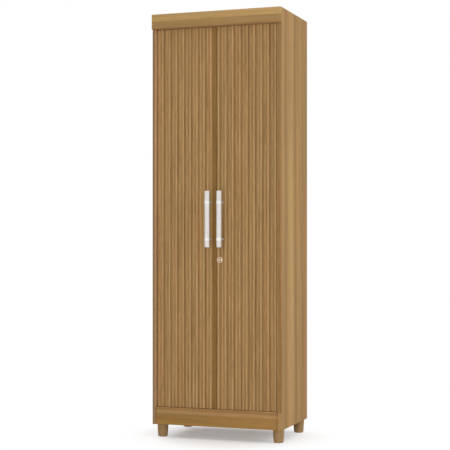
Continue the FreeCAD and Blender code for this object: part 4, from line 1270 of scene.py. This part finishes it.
@dataclass
class TaperedFeet:
    """The four turned feet, each with a rounded shoulder, a slight swell and a glide under it.

    The toe and the shoulder are given by how far they stand in from the foot's side and how high they are, the
    toe above the glide.
    """

    finishes: Finishes
    bottom_radius: float = 20.7
    swell: float = 0.5
    glide_height: float = 1.0
    toe: Corners = ((2.4, 0.0), (0.9, 0.5), (0.0, 1.7))
    levels: tuple[float, ...] = (6.0, 12.0, 20.0, 28.0, 36.0, 44.0, 51.0)
    shoulder: Corners = ((0.0, 57.0), (0.0, 58.8), (0.5, 59.6))
    top_ease: float = 1.4
    glide: Corners = ((0.0, 0.0), (12.2, 0.0), (13.0, 0.3), (13.4, 1.0), (0.0, 1.0))
    steps: int = 48
    glide_steps: int = 32

    def build(self) -> None:
        """Make the feet."""
        finishes = [self.finishes.foot, self.finishes.glide]
        for place in ("front_left", "front_right", "rear_left", "rear_right"):
            low, high = box_mm(f"{place}_foot")
            centre = ((low.x + high.x) / 2, (low.y + high.y) / 2, 0.0)
            shape = Shape()
            shape.turning(self.profile((high.x - low.x) / 2, high.z), centre, Axis.UP, self.steps)
            shape.turning(list(self.glide), centre, Axis.UP, self.glide_steps, material=1)
            shape.finish(f"{place}_turned_foot", "carcass", "foot_finish", finishes, (f"{place}_foot",))

    def profile(self, top: float, height: float) -> Outline:
        """Draw the line that is turned into a foot.

        Args:
            top: The foot's radius at its top.
            height: The foot's height.

        Returns:
            Its radii and heights.
        """
        bottom, rise = self.bottom_radius, self.glide_height
        profile = [(0.0, rise)] + [(bottom - back, rise + above) for back, above in self.toe]
        for level in self.levels:
            share = level / height
            profile.append((bottom + (top - bottom) * share + self.swell * math.sin(math.pi * share), level))
        profile += [(top - back, level) for back, level in self.shoulder]
        return profile + [(top - self.top_ease, height), (0.0, height)]


@dataclass
class Fittings:
    """The hinges, catches, screws, pins and brackets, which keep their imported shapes."""

    finishes: Finishes
    hinge_pieces: tuple[str, ...] = ("arms", "plates", "cups", "pins")
    door_zinc: tuple[str, ...] = ("door_screws", "handle_screws", "catch_plate")
    carcass_zinc: tuple[str, ...] = (
        "fixing_screws", "hinge_arm_screws", "foot_studs", "foot_nuts", "foot_brackets", "fascia_brackets",
        "shelf_pins", "cam_bolts", "cam_locks", "back_panel_nails",
    )

    def build(self) -> None:
        """Dress the fittings."""
        looks = self.finishes
        dress([f"{side}_hinge_{piece}" for side in SIDES for piece in self.hinge_pieces], looks.nickel)
        dress([f"{side}_{piece}" for side in SIDES for piece in self.door_zinc], looks.zinc)
        dress([*self.carcass_zinc], looks.zinc)
        dress(["magnetic_catches"], looks.plastic)
        dress(["catch_magnets"], looks.ferrite)
        dress(["dowels"], looks.beech)


@dataclass(frozen=True)
class Lamp:
    """A square soft lamp, with its power in watts and its side in metres."""

    name: str
    place: Place
    watts: float
    size: float

    def hang(self, aim: Place) -> None:
        """Hang the lamp.

        Args:
            aim: Where it points.
        """
        data = bpy.data.lights.new(self.name, "AREA")
        data.energy = self.watts
        data.size = self.size
        lamp = bpy.data.objects.new(self.name, data)
        lamp.location = self.place
        lamp.rotation_euler = (Vector(aim) - Vector(self.place)).to_track_quat("-Z", "Y").to_euler()
        bpy.context.scene.collection.objects.link(lamp)


@dataclass
class Studio:
    """The floor, the lamps and the camera, in metres."""

    lens_mm: float = 100.005
    camera_place: Place = (1.8756, -5.31145, 0.8798)
    turn_degrees: float = 19.633
    shift_x: float = -0.00127
    shift_y: float = 0.0329
    floor_half: float = 30.0
    floor_colour: Colour = (0.92, 0.92, 0.92, 1.0)
    floor_roughness: float = 0.95
    floor_gloss: float = 0.1
    floor_lift: float = 0.24
    floor_fade: tuple[float, float] = (0.18, 0.5)
    fill: float = 0.5
    lamps_aim: Place = (0.0, 0.0, 0.9)
    lamps: tuple[Lamp, ...] = (
        Lamp("front", (1.1, -5.7, 1.15), 100.0, 1.4), Lamp("side", (5.2, -1.0, 2.4), 116.0, 2.0),
        Lamp("back", (-4.2, 3.2, 3.8), 85.0, 2.0),
    )

    def build(self) -> None:
        """Set up the whole studio."""
        self.floor()
        self.world()
        for lamp in self.lamps:
            lamp.hang(self.lamps_aim)
        self.camera()
        bpy.context.scene.view_settings.view_transform = "Standard"

    def floor(self) -> None:
        """Lay a pale floor that keeps the cabinet's shadow and fades to white."""
        mesh = bpy.data.meshes.new("studio_floor")
        made = bmesh.new()
        bmesh.ops.create_grid(made, x_segments=1, y_segments=1, size=self.floor_half)
        made.to_mesh(mesh)
        made.free()
        floor = bpy.data.objects.new("studio_floor", mesh)
        bpy.context.scene.collection.objects.link(floor)
        mesh.materials.append(self.floor_material())

    def floor_material(self) -> bpy.types.Material:
        """Build the floor's material, which glows white far from the cabinet for the rays that see it.

        Returns:
            The material.
        """
        shader = Shader("studio_floor")
        shader.fix("Base Color", self.floor_colour)
        shader.fix("Roughness", self.floor_roughness)
        shader.fix("Specular IOR Level", self.floor_gloss)
        surface = shader.surface.outputs[0]
        distance = shader.add("VectorMath", operation="LENGTH")
        shader.link(shader.place(UNSCALED), distance.inputs[0])
        fade = shader.span(distance.outputs["Value"], self.floor_fade, (0.0, 1.0), smooth=True)
        lifted = shader.add("AddShader")
        shader.link(surface, lifted.inputs[0])
        shader.link(shader.add("Emission", Strength=self.floor_lift).outputs[0], lifted.inputs[1])
        glow = shader.add("Emission", Strength=1.0)
        faded = shader.blend(fade, lifted.outputs[0], glow.outputs[0])
        seen = shader.blend(self.pale_rays(shader.tree), surface, faded)
        shader.link(seen, shader.tree.nodes["Material Output"].inputs["Surface"])
        return shader.material

    @staticmethod
    def pale_rays(tree: bpy.types.NodeTree) -> Socket:
        """Tell the rays that see the pale backdrop from those that only carry light.

        Args:
            tree: The node tree that asks.

        Returns:
            One for camera, glossy and transmission rays.
        """
        path = tree.nodes.new("ShaderNodeLightPath")
        result = path.outputs["Is Camera Ray"]
        for name in ("Is Glossy Ray", "Is Transmission Ray"):
            most = tree.nodes.new("ShaderNodeMath")
            most.operation = "MAXIMUM"
            tree.links.new(result, most.inputs[0])
            tree.links.new(path.outputs[name], most.inputs[1])
            result = most.outputs[0]
        return result

    def world(self) -> None:
        """Make the world white to the camera and a soft fill to the rest."""
        world = bpy.data.worlds.new("studio_world")
        bpy.context.scene.world = world
        world.use_nodes = True
        tree = world.node_tree
        back = tree.nodes["Background"]
        back.inputs["Color"].default_value = WHITE
        level = tree.nodes.new("ShaderNodeMapRange")
        level.inputs["To Min"].default_value = self.fill
        level.inputs["To Max"].default_value = 1.0
        tree.links.new(self.pale_rays(tree), level.inputs["Value"])
        tree.links.new(level.outputs["Result"], back.inputs["Strength"])

    def camera(self) -> None:
        """Set the camera where the photograph was taken from."""
        data = bpy.data.cameras.new("photo_camera")
        data.lens = self.lens_mm
        data.shift_x = self.shift_x
        data.shift_y = self.shift_y
        camera = bpy.data.objects.new("photo_camera", data)
        camera.location = self.camera_place
        camera.rotation_euler = (math.radians(90), 0.0, math.radians(self.turn_degrees))
        bpy.context.scene.collection.objects.link(camera)
        bpy.context.scene.camera = camera


def main() -> None:
    """Build the looks of the cabinet, piece by piece."""
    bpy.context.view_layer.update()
    finishes = Finishes()
    for part in (Carcass(finishes), SlattedDoors(finishes), BarHandles(finishes), CylinderLock(finishes),
                 TaperedFeet(finishes), Fittings(finishes), Studio()):
        part.build()
        log.info("built %s", type(part).__name__)


if __name__ == "__main__":
    main()
